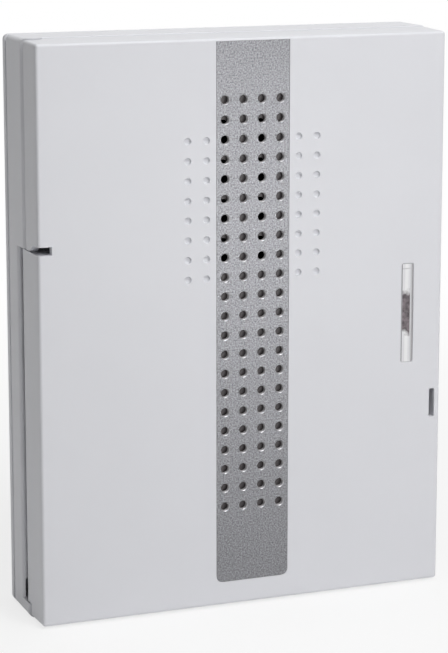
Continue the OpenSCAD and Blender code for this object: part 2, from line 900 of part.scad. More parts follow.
module signal_lamp() {
    color("tomato") on_wall() translate([window_x, lamp_y, board_face]) {
        cylinder(r = lamp_r + lamp_rim, h = lamp_rim_h);
        cylinder(r = lamp_r, h = lamp_h - lamp_r);
        translate([0, 0, lamp_h - lamp_r]) sphere(lamp_r);
    }
}

module volume_pot() {
    color("royalblue") on_wall() translate([pot_x, top_row, board_face]) difference() {
        block([-pot_w / 2, -pot_w / 2, 0], [pot_w / 2, pot_w / 2, pot_h]);
        translate([0, 0, pot_floor]) cylinder(d = shaft_d + 2 * pin_gap, h = far);
    }
}

module volume_knob() {
    color("white") on_wall() translate([pot_x, top_row, board_face]) {
        translate([0, 0, pot_floor + knob_lift]) cylinder(d = shaft_d, h = pot_h);
        translate([0, 0, pot_h + knob_lift]) difference() {
            cylinder(d = knob_d, h = knob_h);
            for (i = [0 : knob_ribs - 1]) {
                rotate(i * 360 / knob_ribs) translate([knob_d / 2 + rib_cut_out, 0, knob_foot])
                    cylinder(r = rib_cut_r, h = far);
            }
            translate([-knob_d / 2, -drive_w / 2, knob_h - pointer_deep])
                cube([knob_d / 2 + pointer_end, drive_w, far]);
        }
    }
}

module tune_switch() {
    slot_l = slider_w + 2 * (tune_travel + slider_gap);
    color("black") on_wall() translate([tune_x, top_row, board_face]) difference() {
        block([-tune_w / 2, -tune_l / 2, 0], [tune_w / 2, tune_l / 2, tune_h]);
        block([-slot_l / 2, -slider_w / 2 - slider_gap, tune_floor],
              [slot_l / 2, slider_w / 2 + slider_gap, far]);
    }
}

module tune_slider() {
    foot = tune_floor + slider_gap;
    color("white") on_wall() translate([tune_x, top_row, board_face]) {
        block([-slider_w / 2, -slider_w / 2, foot], [slider_w / 2, slider_w / 2, tune_h + slider_h]);
    }
}

// Loudspeaker

module at_speaker() {
    translate([speaker_x, speaker_y, 0]) children();
}

module speaker_frame() {
    color("dimgray") on_wall() {
        at_speaker() difference() {
            union() {
                rotate_extrude() polygon([
                    [frame_in, basket_z], [plate_r, basket_z], [basket_r, bowl_z], [basket_r, flange_z],
                    [speaker_d / 2, flange_z], [speaker_d / 2, flange_face],
                    [basket_r - basket_t, flange_face], [basket_r - basket_t, bowl_z],
                    [plate_r, basket_z + basket_t], [frame_in, basket_z + basket_t]
                ]);
                for (x = tag_xs) {
                    block([x - tag_w / 2, -speaker_d / 2 - tag_l, flange_z],
                          [x + tag_w / 2, tag_lap - speaker_d / 2, flange_z + basket_t / 2]);
                }
            }
            for (turn = window_turns) {
                rotate(turn) translate([vent_in, -vent_w / 2, basket_z + basket_t])
                    cube([far, vent_w, vent_h]);
            }
        }
        at_speaker_ears() translate([0, 0, flange_z]) difference() {
            cylinder(r = ear_r, h = basket_t);
            translate([0, 0, -eps]) cylinder(r = screw_hole, h = far);
        }
    }
}

module speaker_magnet() {
    color("black") on_wall() at_speaker() translate([0, 0, magnet_z]) difference() {
        cylinder(d = magnet_d, h = magnet_t);
        translate([0, 0, -eps]) cylinder(r = magnet_in, h = far);
    }
}

module pole_plate() {
    color("silver") on_wall() at_speaker() {
        translate([0, 0, back_z]) cylinder(r = plate_r, h = back_t);
        translate([0, 0, back_z]) cylinder(d = pole_d, h = basket_z - back_z);
    }
}

module front_pole_plate() {
    color("silver") on_wall() at_speaker() translate([0, 0, top_z]) difference() {
        cylinder(r = plate_r, h = top_t);
        translate([0, 0, -eps]) cylinder(r = coil_r + coil_gap, h = far);
    }
}

module voice_coil() {
    coil_z = top_z - coil_drop;
    color("chocolate") on_wall() at_speaker() translate([0, 0, coil_z]) difference() {
        cylinder(r = coil_r, h = cone_z + coil_rise - coil_z);
        translate([0, 0, -eps]) cylinder(r = coil_r - coil_t, h = far);
    }
}

module speaker_cone() {
    color("dimgray") on_wall() at_speaker() rotate_extrude() polygon([
        [coil_r, cone_z], [cone_r, cone_top - cone_t], [cone_r, cone_top], [coil_r, cone_z + cone_t]
    ]);
}

// Height of the cone's front face at radius r
function cone_face(r) = cone_z + cone_t + (cone_top - cone_z - cone_t) * (r - coil_r) / (cone_r - coil_r);

module dust_cap() {
    drop = sqrt(cap_ball * cap_ball - cap_r * cap_r);
    color("black") on_wall() at_speaker() translate([0, 0, cone_face(cap_r)]) {
        intersection() {
            translate([0, 0, -drop]) difference() {
                sphere(cap_ball);
                sphere(cap_ball - cap_t);
            }
            cylinder(r = cap_r, h = cap_ball);
        }
    }
}

module cone_surround() {
    color("black") on_wall() at_speaker() translate([0, 0, flange_face]) rotate_extrude() {
        translate([roll_x, 0]) difference() {
            circle(roll_r);
            circle(roll_in);
            translate([-far, -2 * far]) square(2 * far);
        }
    }
}

module speaker_screws() {
    color("silver") on_wall() at_speaker_ears() translate([0, 0, flange_face])
        pan_screw(speaker_screw_l);
}

// Battery

function cell_y(i) = bay_y1 - (i + 0.5) * cell_pitch;

// The raised pole of each next cell points the other way
function pole_side(i) = i % 2 == 0 ? 1 : -1;

module round_cells() {
    r = cell_d / 2;
    body_l = cell_l - nub_l;
    rim_in = r - cell_edge - cell_rim;
    color("goldenrod") on_wall() {
        for (i = [0 : cells - 1]) {
            translate([(bay_x0 + bay_x1) / 2, cell_y(i), cell_z]) rotate([0, 90 * pole_side(i), 0])
                translate([0, 0, -cell_l / 2]) rotate_extrude() polygon([
                    [0, cell_dish], [rim_in - cell_dish, cell_dish], [rim_in, 0], [r - cell_edge, 0],
                    [r, cell_edge], [r, body_l - cell_edge], [r - cell_edge, body_l],
                    [nub_r, body_l], [nub_r, cell_l - nub_edge], [nub_r - nub_edge, cell_l], [0, cell_l]
                ]);
        }
    }
}

// Contact for one cell end, drawn for the left end with its back at x = 0
module contact_face(i, side) {
    room = contact_room - 2 * contact_gap;
    translate([0, cell_y(i), 0]) {
        block([0, -plate_w / 2, floor_t + contact_gap], [plate_t, plate_w / 2, plate_top]);
        if (pole_side(i) == side) {
            translate([plate_t - eps, 0, cell_z]) rotate([0, 90, 0])
                cylinder(r = button_r, h = room - plate_t);
        } else {
            foot = plate_t - eps;
            crest = room - plate_t;
            translate([0, leaf_w / 2, cell_z]) rotate([90, 0, 0]) linear_extrude(leaf_w) polygon([
                [foot, -leaf_half], [room, -leaf_tip], [room, leaf_tip], [foot, leaf_half],
                [foot, leaf_half - leaf_foot], [crest, leaf_tip], [crest, -leaf_tip],
                [foot, leaf_foot - leaf_half]
            ]);
        }
    }
}

// Strip that joins the contacts of cells i and i + 1
module contact_link(i) {
    y0 = cell_y(i + 1);
    y1 = cell_y(i);
    block([0, y0, floor_t + contact_gap], [plate_t, y1, floor_t + contact_gap + link_h]);
}

module contact_plates() {
    color("lightgray") on_wall() {
        translate([bay_x0 + contact_gap, 0, 0]) {
            for (i = [0 : cells - 1]) {
                contact_face(i, -1);
            }
            contact_link(0);
        }
        translate([bay_x1 - contact_gap, 0, 0]) mirror([1, 0, 0]) {
            for (i = [0 : cells - 1]) {
                contact_face(i, 1);
            }
            if (cells > 2) {
                contact_link(1);
            }
        }
    }
}

// Leads

module speaker_leads() {
    color("firebrick") on_wall() {
        for (x = tag_xs) {
            start = [speaker_x + x, speaker_y - speaker_d / 2 - tag_l / 2, flange_z - lead_skim];
            land = [pads_x + x, pads_y, board_face + lead_skim];
            lead([start, start - [0, 0, lead_drop], land + [0, 0, lead_rise], land], lead_r);
        }
    }
}

module battery_leads() {
    top = plate_top + lead_skim;
    over = plate_top + lead_r + lead_gap;
    out_y = bay_y0 - bay_t - lead_r - lead_gap;
    low_z = floor_t + lead_r + lead_gap;
    left_x = bay_x0 + contact_gap + plate_t / 2;
    right_x = bay_x1 - contact_gap - plate_t / 2;
    turn_x = board_x0 - lead_r - lead_gap;
    pad_z = board_face + lead_skim;
    last = cells - 1;
    color("firebrick") on_wall() {
        lead([
            [right_x, cell_y(0), top], [right_x, cell_y(0), over], [lead_pad_x, cell_y(0), over],
            [lead_pad_x, cell_y(0), pad_z]
        ], lead_r);
        lead([
            [left_x, cell_y(last), top], [left_x, cell_y(last), over], [left_x, out_y, over],
            [left_x, out_y, low_z], [turn_x, out_y, low_z], [turn_x, out_y, pad_z + lead_rise],
            [lead_pad_x, lead_pad_y, pad_z + lead_rise], [lead_pad_x, lead_pad_y, pad_z]
        ], lead_r);
    }
}

rear_base();
front_cover();
grille_strip();
light_guide();
hinge_pins();
latch_lever();
circuit_board();
board_screws();
terminal_block();
terminal_screws();
sound_chip();
chip_legs();
capacitors();
rectifier();
resistors();
signal_lamp();
volume_pot();
volume_knob();
tune_switch();
tune_slider();
speaker_frame();
speaker_magnet();
pole_plate();
front_pole_plate();
voice_coil();
speaker_cone();
dust_cap();
cone_surround();
speaker_screws();
round_cells();
contact_plates();
speaker_leads();
battery_leads();
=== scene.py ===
"""Looks of a wall-mounted door chime: a finer mesh and a finish for each piece, soft light and a camera."""
import json
import math

import bmesh
import bpy
import numpy as np
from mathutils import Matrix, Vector


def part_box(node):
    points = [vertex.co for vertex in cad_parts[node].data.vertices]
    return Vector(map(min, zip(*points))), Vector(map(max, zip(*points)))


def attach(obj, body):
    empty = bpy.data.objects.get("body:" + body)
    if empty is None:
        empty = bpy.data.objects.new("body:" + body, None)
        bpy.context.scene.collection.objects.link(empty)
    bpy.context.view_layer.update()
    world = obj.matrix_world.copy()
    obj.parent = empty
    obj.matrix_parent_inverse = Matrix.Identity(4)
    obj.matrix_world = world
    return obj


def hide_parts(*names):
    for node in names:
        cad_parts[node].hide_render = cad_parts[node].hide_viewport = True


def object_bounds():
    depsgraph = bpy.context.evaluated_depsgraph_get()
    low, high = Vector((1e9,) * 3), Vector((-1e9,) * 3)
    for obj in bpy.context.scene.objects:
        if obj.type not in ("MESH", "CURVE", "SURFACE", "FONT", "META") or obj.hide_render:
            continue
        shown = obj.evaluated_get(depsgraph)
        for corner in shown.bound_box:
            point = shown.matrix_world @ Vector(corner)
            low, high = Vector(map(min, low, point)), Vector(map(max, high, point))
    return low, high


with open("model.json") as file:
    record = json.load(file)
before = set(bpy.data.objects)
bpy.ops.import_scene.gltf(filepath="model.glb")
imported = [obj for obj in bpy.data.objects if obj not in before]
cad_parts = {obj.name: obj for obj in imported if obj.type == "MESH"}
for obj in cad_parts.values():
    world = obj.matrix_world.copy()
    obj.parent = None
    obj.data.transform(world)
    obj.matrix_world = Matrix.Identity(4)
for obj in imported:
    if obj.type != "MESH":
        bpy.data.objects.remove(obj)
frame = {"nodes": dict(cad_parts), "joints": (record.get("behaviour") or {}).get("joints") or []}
cad_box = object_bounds()

# Drawing frame of every size below, in millimetres: x to the right, y up the wall, z out of the wall
MM = 0.001
TURN = 2 * math.pi
CORNERS = np.array([[1, 1], [-1, 1], [-1, -1], [1, -1]])


class Room:
    """Box that a CAD node fills, in the drawing frame."""

    def __init__(self, node):
        low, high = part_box(node)
        self.low = np.array([low.x, low.z, -high.y]) / MM
        self.high = np.array([high.x, high.z, -low.y]) / MM
        self.mid = (self.low + self.high) / 2
        self.half = (self.high - self.low) / 2


def four_about(centre, half_x, half_y):
    """Places at the four corners of a rectangle."""
    return [(centre[0] + x * half_x, centre[1] + y * half_y) for x in (-1, 1) for y in (-1, 1)]


# Case: half widths and heights, distances out of the wall, eased edges, wall screws and cable entry
CASE_W = 66.0
CASE_H = 88.0
FRONT = 32.0
BEYOND = 40.0
SEAM = 17.0
WALL = 2.2
PLATE = 29.6
EDGE = 0.95
DRAFT = 0.3
CHAMFER = 0.25
BASE_W = 66.7
BASE_H = 88.7
BASE_R = 1.6
BASE_RIM = 16.7
FLOOR = 2.4
ROOT = 1.2
RIM_EASE = 0.5
GROOVE_LOW = 2.8
GROOVE_HIGH = 3.9
GROOVE_IN = 0.9
GROOVE_EASE = 0.15
WALL_SCREWS = four_about((0, 0), 52.0, 76.0)
WALL_SCREW_R = 2.3
CABLE_ENTRY = (28.0, -73.0)
CABLE_R = 6.0

# Tongues behind the seam: the places of their inner face, lip and wall, and how far they run
TONGUE_LOW = 14.2
TONGUE_TOP = 19.2
TONGUE_ENDS = np.array([84.25, 85.45, 86.6])
TONGUE_SIDE = np.array([62.25, 63.45, 64.6])
END_RUN = (-58.8, 63.45)
SIDE_RUNS = ((-18.55, 83.9), (-83.9, -40.85))

# Hinge at the left
NOTCH_LOW = 25.85
NOTCH_HIGH = 28.35
NOTCH_IN = -61.7
WEB = 1.2
NOSE_LOW = 28.7
NOSE_R = 3.9
NOSE_REACH = 1.6
NOSE_FOOT = 9.0
SWEEP_R = 4.254
LIP = 3.9
SWING_GAP = 0.35
CORNER = -84.4
BARREL_LOW = -78.4
BARREL_R = 1.5
PIN_R = 0.8
PIN_HOLD = 10.0
PIN_REACH = 6.0
PIN_FOOT = 3.3
PRESS_GAP = 0.01
TURN_GAP = 0.05
GAP_OUT = 12.0

# Strip, window and release slot
HOLE_PITCH = 6.0
HOLE_R = 1.3
HOLE_RIM = 0.26
HOLE_SLOPE = 0.2
HOLE_TOP = 69.5
HOLE_ROWS = 22
HOLE_COLS = 4
HOLE_DEEP = 1.2
COLLAR_R = 1.6
COLLAR_DEEP = 0.8
OVERLAP = 0.3
STRIP_GAP = 0.03
STRIP_R = 2.4
STRIP_TOP = 87.1
STRIP_EDGE = 0.15
SOUND_COLS = (0, 2)
SOUND_ROWS = (2, 4, 6, 8)
SOUND_HALF = (1.6, 4.0)
SOUND_UP = 1.9
DIMPLE_COLS = (-2, -1, 4, 5)
DIMPLE_ROWS = range(2, 10)
WINDOW_HALF = (2.0, 15.8)
SLOT = (63.2, -29.7)
SLOT_HALF = (0.9, 4.55)
SLOT_LOW = SLOT[1] - SLOT_HALF[1]
SLOT_HIGH = SLOT[1] + SLOT_HALF[1]

# Latch lever: its pivot out of the wall, its thickness and hook, and its stubs in the lugs
LATCH_OUT = 6.0
LATCH_T = 1.6
HOOK = 0.5
STUB_R = 0.7
LUG_R = 2.0
LUG_HALF = 1.3
LUG_AWAY = 6.15

# Places taken from the frame
hinge = next(joint for joint in frame["joints"] if joint["name"] == "cover_hinge")
hinge_x = hinge["pos_m"][0] / MM
hinge_out = -hinge["pos_m"][1] / MM
strip = Room("grille_strip")
guide = Room("light_guide")
bulb = Room("signal_lamp")
latch = Room("latch_lever")
latch_x = latch.mid[0] - HOOK / 2
board = Room("circuit_board")
chip = Room("sound_chip")
cans = Room("capacitors")
ohms = Room("resistors")
terminal = Room("terminal_block")
speaker = Room("speaker_frame")
cone = Room("speaker_cone")
cells = Room("round_cells")

# Board and what stands on it
BOARD_INSET = 4.0
SCREW_BORE = 1.6
CHIP_PITCH = 2.4
CAN_R = 5.0
OHM_R = 1.1
OHM_BEND = 4.4
LEG_AWAY = 3.9
POLE_PITCH = 7.5
WELL_DEEP = 5.0
PADS = [(14.0, 1.4), (18.0, 1.4), (5.0, -21.6), (5.0, -45.0)]
TRACK_W = 0.9
TRACK_T = 0.04
INK_W = 0.25
INK_T = 0.02
board_face = board.high[2]
board_screws = four_about(board.mid, *(board.half[:2] - BOARD_INSET))
chip_leg_x = chip.mid[0] + (np.arange(8) - 3.5) * CHIP_PITCH
can_places = [(cans.low[0] + CAN_R, cans.mid[1]), (cans.high[0] - CAN_R, cans.mid[1])]
ohm_x = np.linspace(ohms.low[0] + OHM_R, ohms.high[0] - OHM_R, 3)
pole_x = terminal.mid[0] + (np.arange(4) - 1.5) * POLE_PITCH
poles = [(x, terminal.mid[1]) for x in pole_x]

# Loudspeaker, cells and leads
SHEET_T = 0.9
EAR_OUT = 31.1
EAR_TURNS = np.radians([90, 210, 330])
TAG_X = 2.0
CELL_R = 7.1
CELL_PITCH = 15.2
CELL_SIDES = (1, -1, 1)
LEAD_R = 0.6
LEAD_BEND = 1.6
speaker_x, speaker_y = cone.mid[:2]
speaker_at = (speaker_x, speaker_y, 0)
speaker_face = speaker.high[2]
flange = speaker_face - SHEET_T
speaker_ears = [(speaker_x + EAR_OUT * math.cos(turn), speaker_y + EAR_OUT * math.sin(turn))
                for turn in EAR_TURNS]
tag_y = speaker_y - 30.5
cell_y = cells.high[1] - CELL_R - np.arange(3) * CELL_PITCH

# Copper tracks, each a line of (x, y) points over the board
TRACKS = [
    [(12.7, -17), (12.7, -15.6), (10.0, -12.9), (10.0, -5.0), (14.0, -1.0), (14.0, 1.4)],
    [(15.1, -17), (15.1, -13.5)], [(17.5, -17), (17.5, -13.5)],
    [(19.9, -17), (19.9, -15.4), (22.6, -12.7), (22.6, -3.2), (18.0, 1.4)],
    [(22.3, -17), (22.3, -15.9), (24.6, -13.6), (24.6, 1.6), (46.0, 1.6)],
    [(24.7, -17), (24.7, -16.2), (27.4, -13.5), (29.8, -13.5)],
    [(27.1, -17), (27.1, -16.2), (28.3, -15.0), (36.2, -15.0), (36.2, -12)],
    [(29.5, -17), (30.0, -16.5), (40.3, -16.5)],
    [(44.3, -16.5), (44.3, -14.0), (43.0, -12.7), (42.0, -11.7)],
    [(48.3, -16.5), (48.3, -13.0), (51.8, -9.5), (53.2, -9.5)],
    [(55.5, -7.0), (56.7, -8.2), (56.7, -30.2), (54.3, -32.6), (50.8, -32.6)],
    [(12.7, -24.8), (12.7, -26.0), (7.8, -30.9), (7.8, -36.0), (11.5, -39.7), (19.25, -39.7)],
    [(17.5, -24.8), (17.5, -28.2)], [(22.3, -24.8), (22.3, -28.4), (26.8, -32.9)],
    [(29.5, -24.8), (29.5, -28.4)],
    [(26.75, -41), (26.75, -38.9), (24.0, -36.2), (24.0, -33.0), (19.0, -33.0)],
    [(40.3, -25.3), (40.3, -27.0), (38.2, -29.1), (38.2, -36.0), (34.25, -40.0)],
    [(44.3, -25.3), (44.3, -29.8)], [(48.3, -25.3), (48.3, -29.8)],
    [(45.0, -35.6), (45.0, -37.2), (41.75, -40.4)],
    [(49.5, -35.6), (49.5, -50.2), (47.7, -52.0), (12.0, -52.0), (5.0, -45.0)],
    [(5.0, -21.6), (6.2, -22.8), (6.2, -27.0), (9.8, -30.6)],
]

# Leads inside the case, red before black
LEADS = {
    "speaker": [[(speaker_x + x, tag_y, flange - 0.1), (speaker_x + x, tag_y, flange - 3.1),
                 (16 + x, 1.4, board_face + 4.1), (16 + x, 1.4, board_face + 0.1)] for x in (TAG_X, -TAG_X)],
    "battery": [[(-4.8, -21.6, 14.8), (-4.8, -21.6, 15.7), (5, -21.6, 15.7), (5, -21.6, 9.7)],
                [(-59.9, -52, 14.8), (-59.9, -52, 15.7), (-59.9, -62.2, 15.7), (-59.9, -62.2, 3.4),
                 (2, -62.2, 3.4), (2, -62.2, 13.7), (5, -45, 13.7), (5, -45, 9.7)]],
}


# Surfaces worked out on grids

def skin(grid, capped=True):
    """Skin over a grid of loops: quads from loop i to i + 1, and a flat face on each end loop."""
    loops, count = grid.shape[:2]
    i = np.arange(loops - 1)[:, None] * count
    j = np.arange(count)[None, :]
    k = (j + 1) % count
    quads = np.stack(np.broadcast_arrays(i + j, i + k, i + count + k, i + count + j), -1)
    faces = quads.reshape(-1, 4).tolist()
    if capped:
        faces.append(np.arange(count)[::-1].tolist())
        faces.append((np.arange(count) + (loops - 1) * count).tolist())
    return grid.reshape(-1, 3), faces


def arc(centre, radius, first, last, steps=16):
    """Points on a circle from the first to the last angle, in degrees."""
    turn = np.radians(np.linspace(first, last, steps))
    return np.stack([np.cos(turn), np.sin(turn)], -1) * radius + np.asarray(centre)


def quarter(radius, steps):
    """Quarter round: pairs of radius (1 - cos t) and radius sin t, as t goes from 0 to 90 degrees."""
    turn = np.linspace(0, TURN / 4, steps)
    return list(zip(radius * (1 - np.cos(turn)), radius * np.sin(turn)))


def eased(points, radius, closed=False, steps=4):
    """Line with each corner p eased: a (1 - t)^2 + 2 p t (1 - t) + b t^2, with a and b on its two sides."""
    points = np.asarray(points, float)
    back = np.roll(points, 1, axis=0) - points
    ahead = np.roll(points, -1, axis=0) - points
    back_run = np.linalg.norm(back, axis=1, keepdims=True)
    ahead_run = np.linalg.norm(ahead, axis=1, keepdims=True)
    reach = np.minimum(radius, 0.48 * np.minimum(back_run, ahead_run))
    a = (points + back / back_run * reach)[:, None]
    b = (points + ahead / ahead_run * reach)[:, None]
    t = np.linspace(0, 1, steps)[None, :, None]
    curves = a * (1 - t) ** 2 + 2 * points[:, None] * t * (1 - t) + b * t ** 2
    if closed:
        return curves.reshape(-1, points.shape[1])
    return np.vstack([points[:1], curves[1:-1].reshape(-1, points.shape[1]), points[-1:]])


def rounded_rect(half_x, half_y, radius, steps=6):
    """Anticlockwise outline: quarter arcs about four points (+-(half_x - radius), +-(half_y - radius))."""
    corners = CORNERS * (half_x - radius, half_y - radius)
    return np.concatenate([arc(corner, radius, 90 * n, 90 * n + 90, steps)
                           for n, corner in enumerate(corners)])


def stepped(half, rows):
    """Levels for a loft from half sizes: each row is an inset from them, a corner radius and a height."""
    return [(half[0] - inset, half[1] - inset, radius, out) for inset, radius, out in rows]


def rect_loft(levels, centre=(0.0, 0.0), steps=6, ring=False):
    """Stack of rounded rectangles, each (half_x, half_y, corner radius, z); a ring ends where it began."""
    loops = [np.insert(rounded_rect(half_x, half_y, radius, steps) + np.asarray(centre)[:2], 2, out, axis=1)
             for half_x, half_y, radius, out in levels + levels[:ring]]
    return skin(np.array(loops), capped=not ring)


def rounded_block(low, high, radius, steps=4):
    """Box with round edges: its section shrinks by radius (1 - sin t) towards each end face."""
    low = np.asarray(low, float)
    high = np.asarray(high, float)
    edge = [(radius - up, max(up, 0.01), away) for away, up in quarter(radius, steps)]
    rows = [(inset, corner, low[2] + rise) for inset, corner, rise in edge]
    rows += [(inset, corner, high[2] - rise) for inset, corner, rise in edge[::-1]]
    return rect_loft(stepped((high - low) / 2, rows), (low + high) / 2, steps)


def turned(profile, centre, sides=48, axis=2, closed=False):
    """Profile of (radius, height) turned about an axis (0 to 2 for x to z); a closed profile makes a ring."""
    profile = np.asarray(profile, float)
    if closed:
        profile = np.vstack([profile, profile[:1]])
    angle = np.arange(sides) * TURN / sides
    radius = np.maximum(profile[:, 0], 1e-4)[:, None]
    height = np.broadcast_to(profile[:, 1][:, None], (len(profile), sides))
    grid = np.stack([radius * np.cos(angle), radius * np.sin(angle), height], -1)
    return skin(np.roll(grid, axis - 2, axis=-1) + np.asarray(centre), capped=not closed)


def turned_at(places, out, profile, sides=32):
    """The same turned form at several (x, y) places, its heights counted from one level."""
    return [turned(profile, (x, y, out), sides) for x, y in places]


def peg(radius, low, high):
    """Profile of a plain round peg or bore."""
    return [[0, low], [radius, low], [radius, high], [0, high]]


def round_bar(radius, low, high, x=hinge_x, out=hinge_out):
    """Cylinder that runs up the wall, about the hinge axis unless told otherwise."""
    return turned(peg(radius, low, high), (x, 0, out), axis=1)


def prism(outline, low, high, axis=2):
    """Outline drawn along an axis (0 to 2 for x to z) from low to high; its points give the other two."""
    outline = np.asarray(outline, float)
    return skin(np.array([np.insert(outline, axis, end, axis=1) for end in (low, high)]))


def about(x, y, half_x, half_y, low, high):
    """Opposite corners of a box about (x, y), from low to high."""
    return (x - half_x, y - half_y, low), (x + half_x, y + half_y, high)


def box(low, high):
    """Sharp-edged box between two opposite corners."""
    half = (np.asarray(high, float) - low) / 2
    return prism(CORNERS * half[:2] + (low + half)[:2], low[2], high[2])


def tube(route, radius, sides=12):
    """Round wire: at each point of the route a circle square to the way ahead."""
    along = np.gradient(route, axis=0)
    along /= np.linalg.norm(along, axis=1, keepdims=True)
    side = np.cross(along, (0.31, 0.52, 0.79))
    side /= np.linalg.norm(side, axis=1, keepdims=True)
    rise = np.cross(along, side)
    angle = (np.arange(sides) * TURN / sides)[None, :, None]
    ring = np.cos(angle) * side[:, None] + np.sin(angle) * rise[:, None]
    return skin(route[:, None] + radius * ring)


def track(points, width, thick, closed=False):
    """Flat track on the board: the line moved half a width to each side, mitred at its corners."""
    points = np.asarray(points, float)
    if closed:
        points = np.vstack([points, points[:1]])
    runs = np.diff(points, axis=0)
    runs /= np.linalg.norm(runs, axis=1, keepdims=True)
    normal = np.stack([-runs[:, 1], runs[:, 0]], -1)
    first, last = (normal[-1:], normal[:1]) if closed else (normal[:1], normal[-1:])
    before = np.vstack([first, normal])
    after = np.vstack([normal, last])
    mitre = (before + after) / (1 + (before * after).sum(1, keepdims=True)) * width / 2
    edges = ((mitre, 0), (-mitre, 0), (-mitre, thick), (mitre, thick))
    grid = np.stack([np.insert(points + move, 2, board_face + rise, axis=1) for move, rise in edges], 1)
    return skin(grid, capped=not closed)


# Meshes from surfaces

SHARP_ANGLE = math.radians(32)


def shown(name, data):
    """New object in the scene."""
    made = bpy.data.objects.new(name, data)
    bpy.context.scene.collection.objects.link(made)
    return made


def solid(name, *surfaces):
    """Object of closed surfaces: (x, y, z) stands up as (x, -z, y), doubles merge and faces turn outwards."""
    points = np.concatenate([part for part, _ in surfaces])
    starts = np.cumsum([0] + [len(part) for part, _ in surfaces]).tolist()
    faces = [[start + n for n in face] for start, (_, part) in zip(starts, surfaces) for face in part]
    mesh = bpy.data.meshes.new(name)
    mesh.from_pydata((points[:, [0, 2, 1]] * (MM, -MM, MM)).tolist(), [], faces)
    build = bmesh.new()
    build.from_mesh(mesh)
    bmesh.ops.remove_doubles(build, verts=build.verts, dist=1e-6)
    bmesh.ops.recalc_face_normals(build, faces=build.faces)
    build.to_mesh(mesh)
    build.free()
    return shown(name, mesh)


def combine(target, operation, surfaces):
    """Joins surfaces to the target, cuts them out of it, or keeps what they share."""
    tool = solid("tool", *surfaces)
    change = target.modifiers.new("combine", "BOOLEAN")
    change.operation = operation
    change.solver = "MANIFOLD"
    change.object = tool
    seen = target.evaluated_get(bpy.context.evaluated_depsgraph_get())
    mesh = bpy.data.meshes.new_from_object(seen)
    target.modifiers.clear()
    target.data = mesh
    bpy.data.objects.remove(tool)
    return target


def join(target, *surfaces):
    """Adds surfaces to the target."""
    return combine(target, "UNION", surfaces)


def cut(target, *surfaces):
    """Cuts surfaces out of the target."""
    return combine(target, "DIFFERENCE", surfaces)


def cross_cut(target, places, reach, width, low):
    """Cuts a cross down to one level at each place: two slots, reach and width being their half sizes."""
    for half in ((reach, width), (width, reach)):
        cut(target, *[box(*about(x, y, *half, low, low + 2)) for x, y in places])
    return target


def dressed(piece, finish, body, slot, *nodes, ease=0.0):
    """Gives a piece its finish and body and hides the CAD nodes it stands for; ease rounds its sharp edges;
    slot is not used.
    """
    mesh = piece.data
    mesh.materials.clear()
    mesh.materials.append(finish)
    mesh.polygons.foreach_set("material_index", np.zeros(len(mesh.polygons), np.int32))
    mesh.polygons.foreach_set("use_smooth", np.ones(len(mesh.polygons), bool))
    mesh.set_sharp_from_angle(angle=SHARP_ANGLE)
    if ease:
        bevel = piece.modifiers.new("eased_edges", "BEVEL")
        bevel.width = ease * MM
        bevel.segments = 2
        bevel.angle_limit = SHARP_ANGLE
    weights = piece.modifiers.new("even_shading", "WEIGHTED_NORMAL")
    weights.keep_sharp = True
    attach(piece, body)
    if nodes:
        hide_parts(*nodes)


# Shader arithmetic

class Wire:
    """A shader socket that takes part in sums: each operator adds a Math node and gives its output."""

    def __init__(self, tree, socket):
        self.tree = tree
        self.socket = socket

    def feed(self, socket, value):
        """Links a wire to a socket or sets its value; three numbers are a colour."""
        if isinstance(value, Wire):
            self.tree.links.new(value.socket, socket)
        else:
            socket.default_value = (*value, 1.0) if isinstance(value, tuple) else value

    def node(self, kind, settings, sockets, out=0):
        """Any node: its settings first, then a value or a link for each of its sockets."""
        made = self.tree.nodes.new(kind)
        stops = settings.pop("stops", ())
        for name, value in settings.items():
            setattr(made, name, value)
        for number, (place, colour) in enumerate(stops):
            ramp = made.color_ramp.elements
            stop = ramp[number] if number < 2 else ramp.new(place)
            stop.position = place
            stop.color = (*colour, 1.0)
        for name, value in sockets.items():
            self.feed(made.inputs[name], value)
        return Wire(self.tree, made.outputs[out])

    def sum(self, operation, *values):
        return self.node("ShaderNodeMath", {"operation": operation}, dict(enumerate(values)))

    def __add__(self, other):
        return self.sum("ADD", self, other)

    def __sub__(self, other):
        return self.sum("SUBTRACT", self, other)

    def __rsub__(self, other):
        return self.sum("SUBTRACT", other, self)

    def __mul__(self, other):
        return self.sum("MULTIPLY", self, other)

    def __gt__(self, other):
        return self.sum("GREATER_THAN", self, other)

    def __lt__(self, other):
        return self.sum("LESS_THAN", self, other)

    __radd__ = __add__
    __rmul__ = __mul__

    def between(self, low, high):
        return (self > low) * (self < high)

    def step(self, low, width):
        """Rises from 0 at low to 1 over a width."""
        settings = {"operation": "MULTIPLY", "use_clamp": True}
        return self.node("ShaderNodeMath", settings, {0: self - low, 1: 1 / width})

    def wave(self, pitch):
        """Sine that repeats at a pitch."""
        return self.sum("SINE", self * (TURN / pitch))

    def noise(self, size, detail=2.0, distortion=0.0):
        """Cloudy noise with features of that size in millimetres."""
        sockets = {"Vector": self, "Scale": 1 / (size * MM), "Detail": detail, "Distortion": distortion}
        return self.node("ShaderNodeTexNoise", {}, sockets)

    def mix(self, mask, first, second):
        return self.node("ShaderNodeMix", {"data_type": "RGBA"}, {0: mask, 6: first, 7: second}, out=2)

    def ramp(self, *stops):
        return self.node("ShaderNodeValToRGB", {"stops": stops}, {"Fac": self})


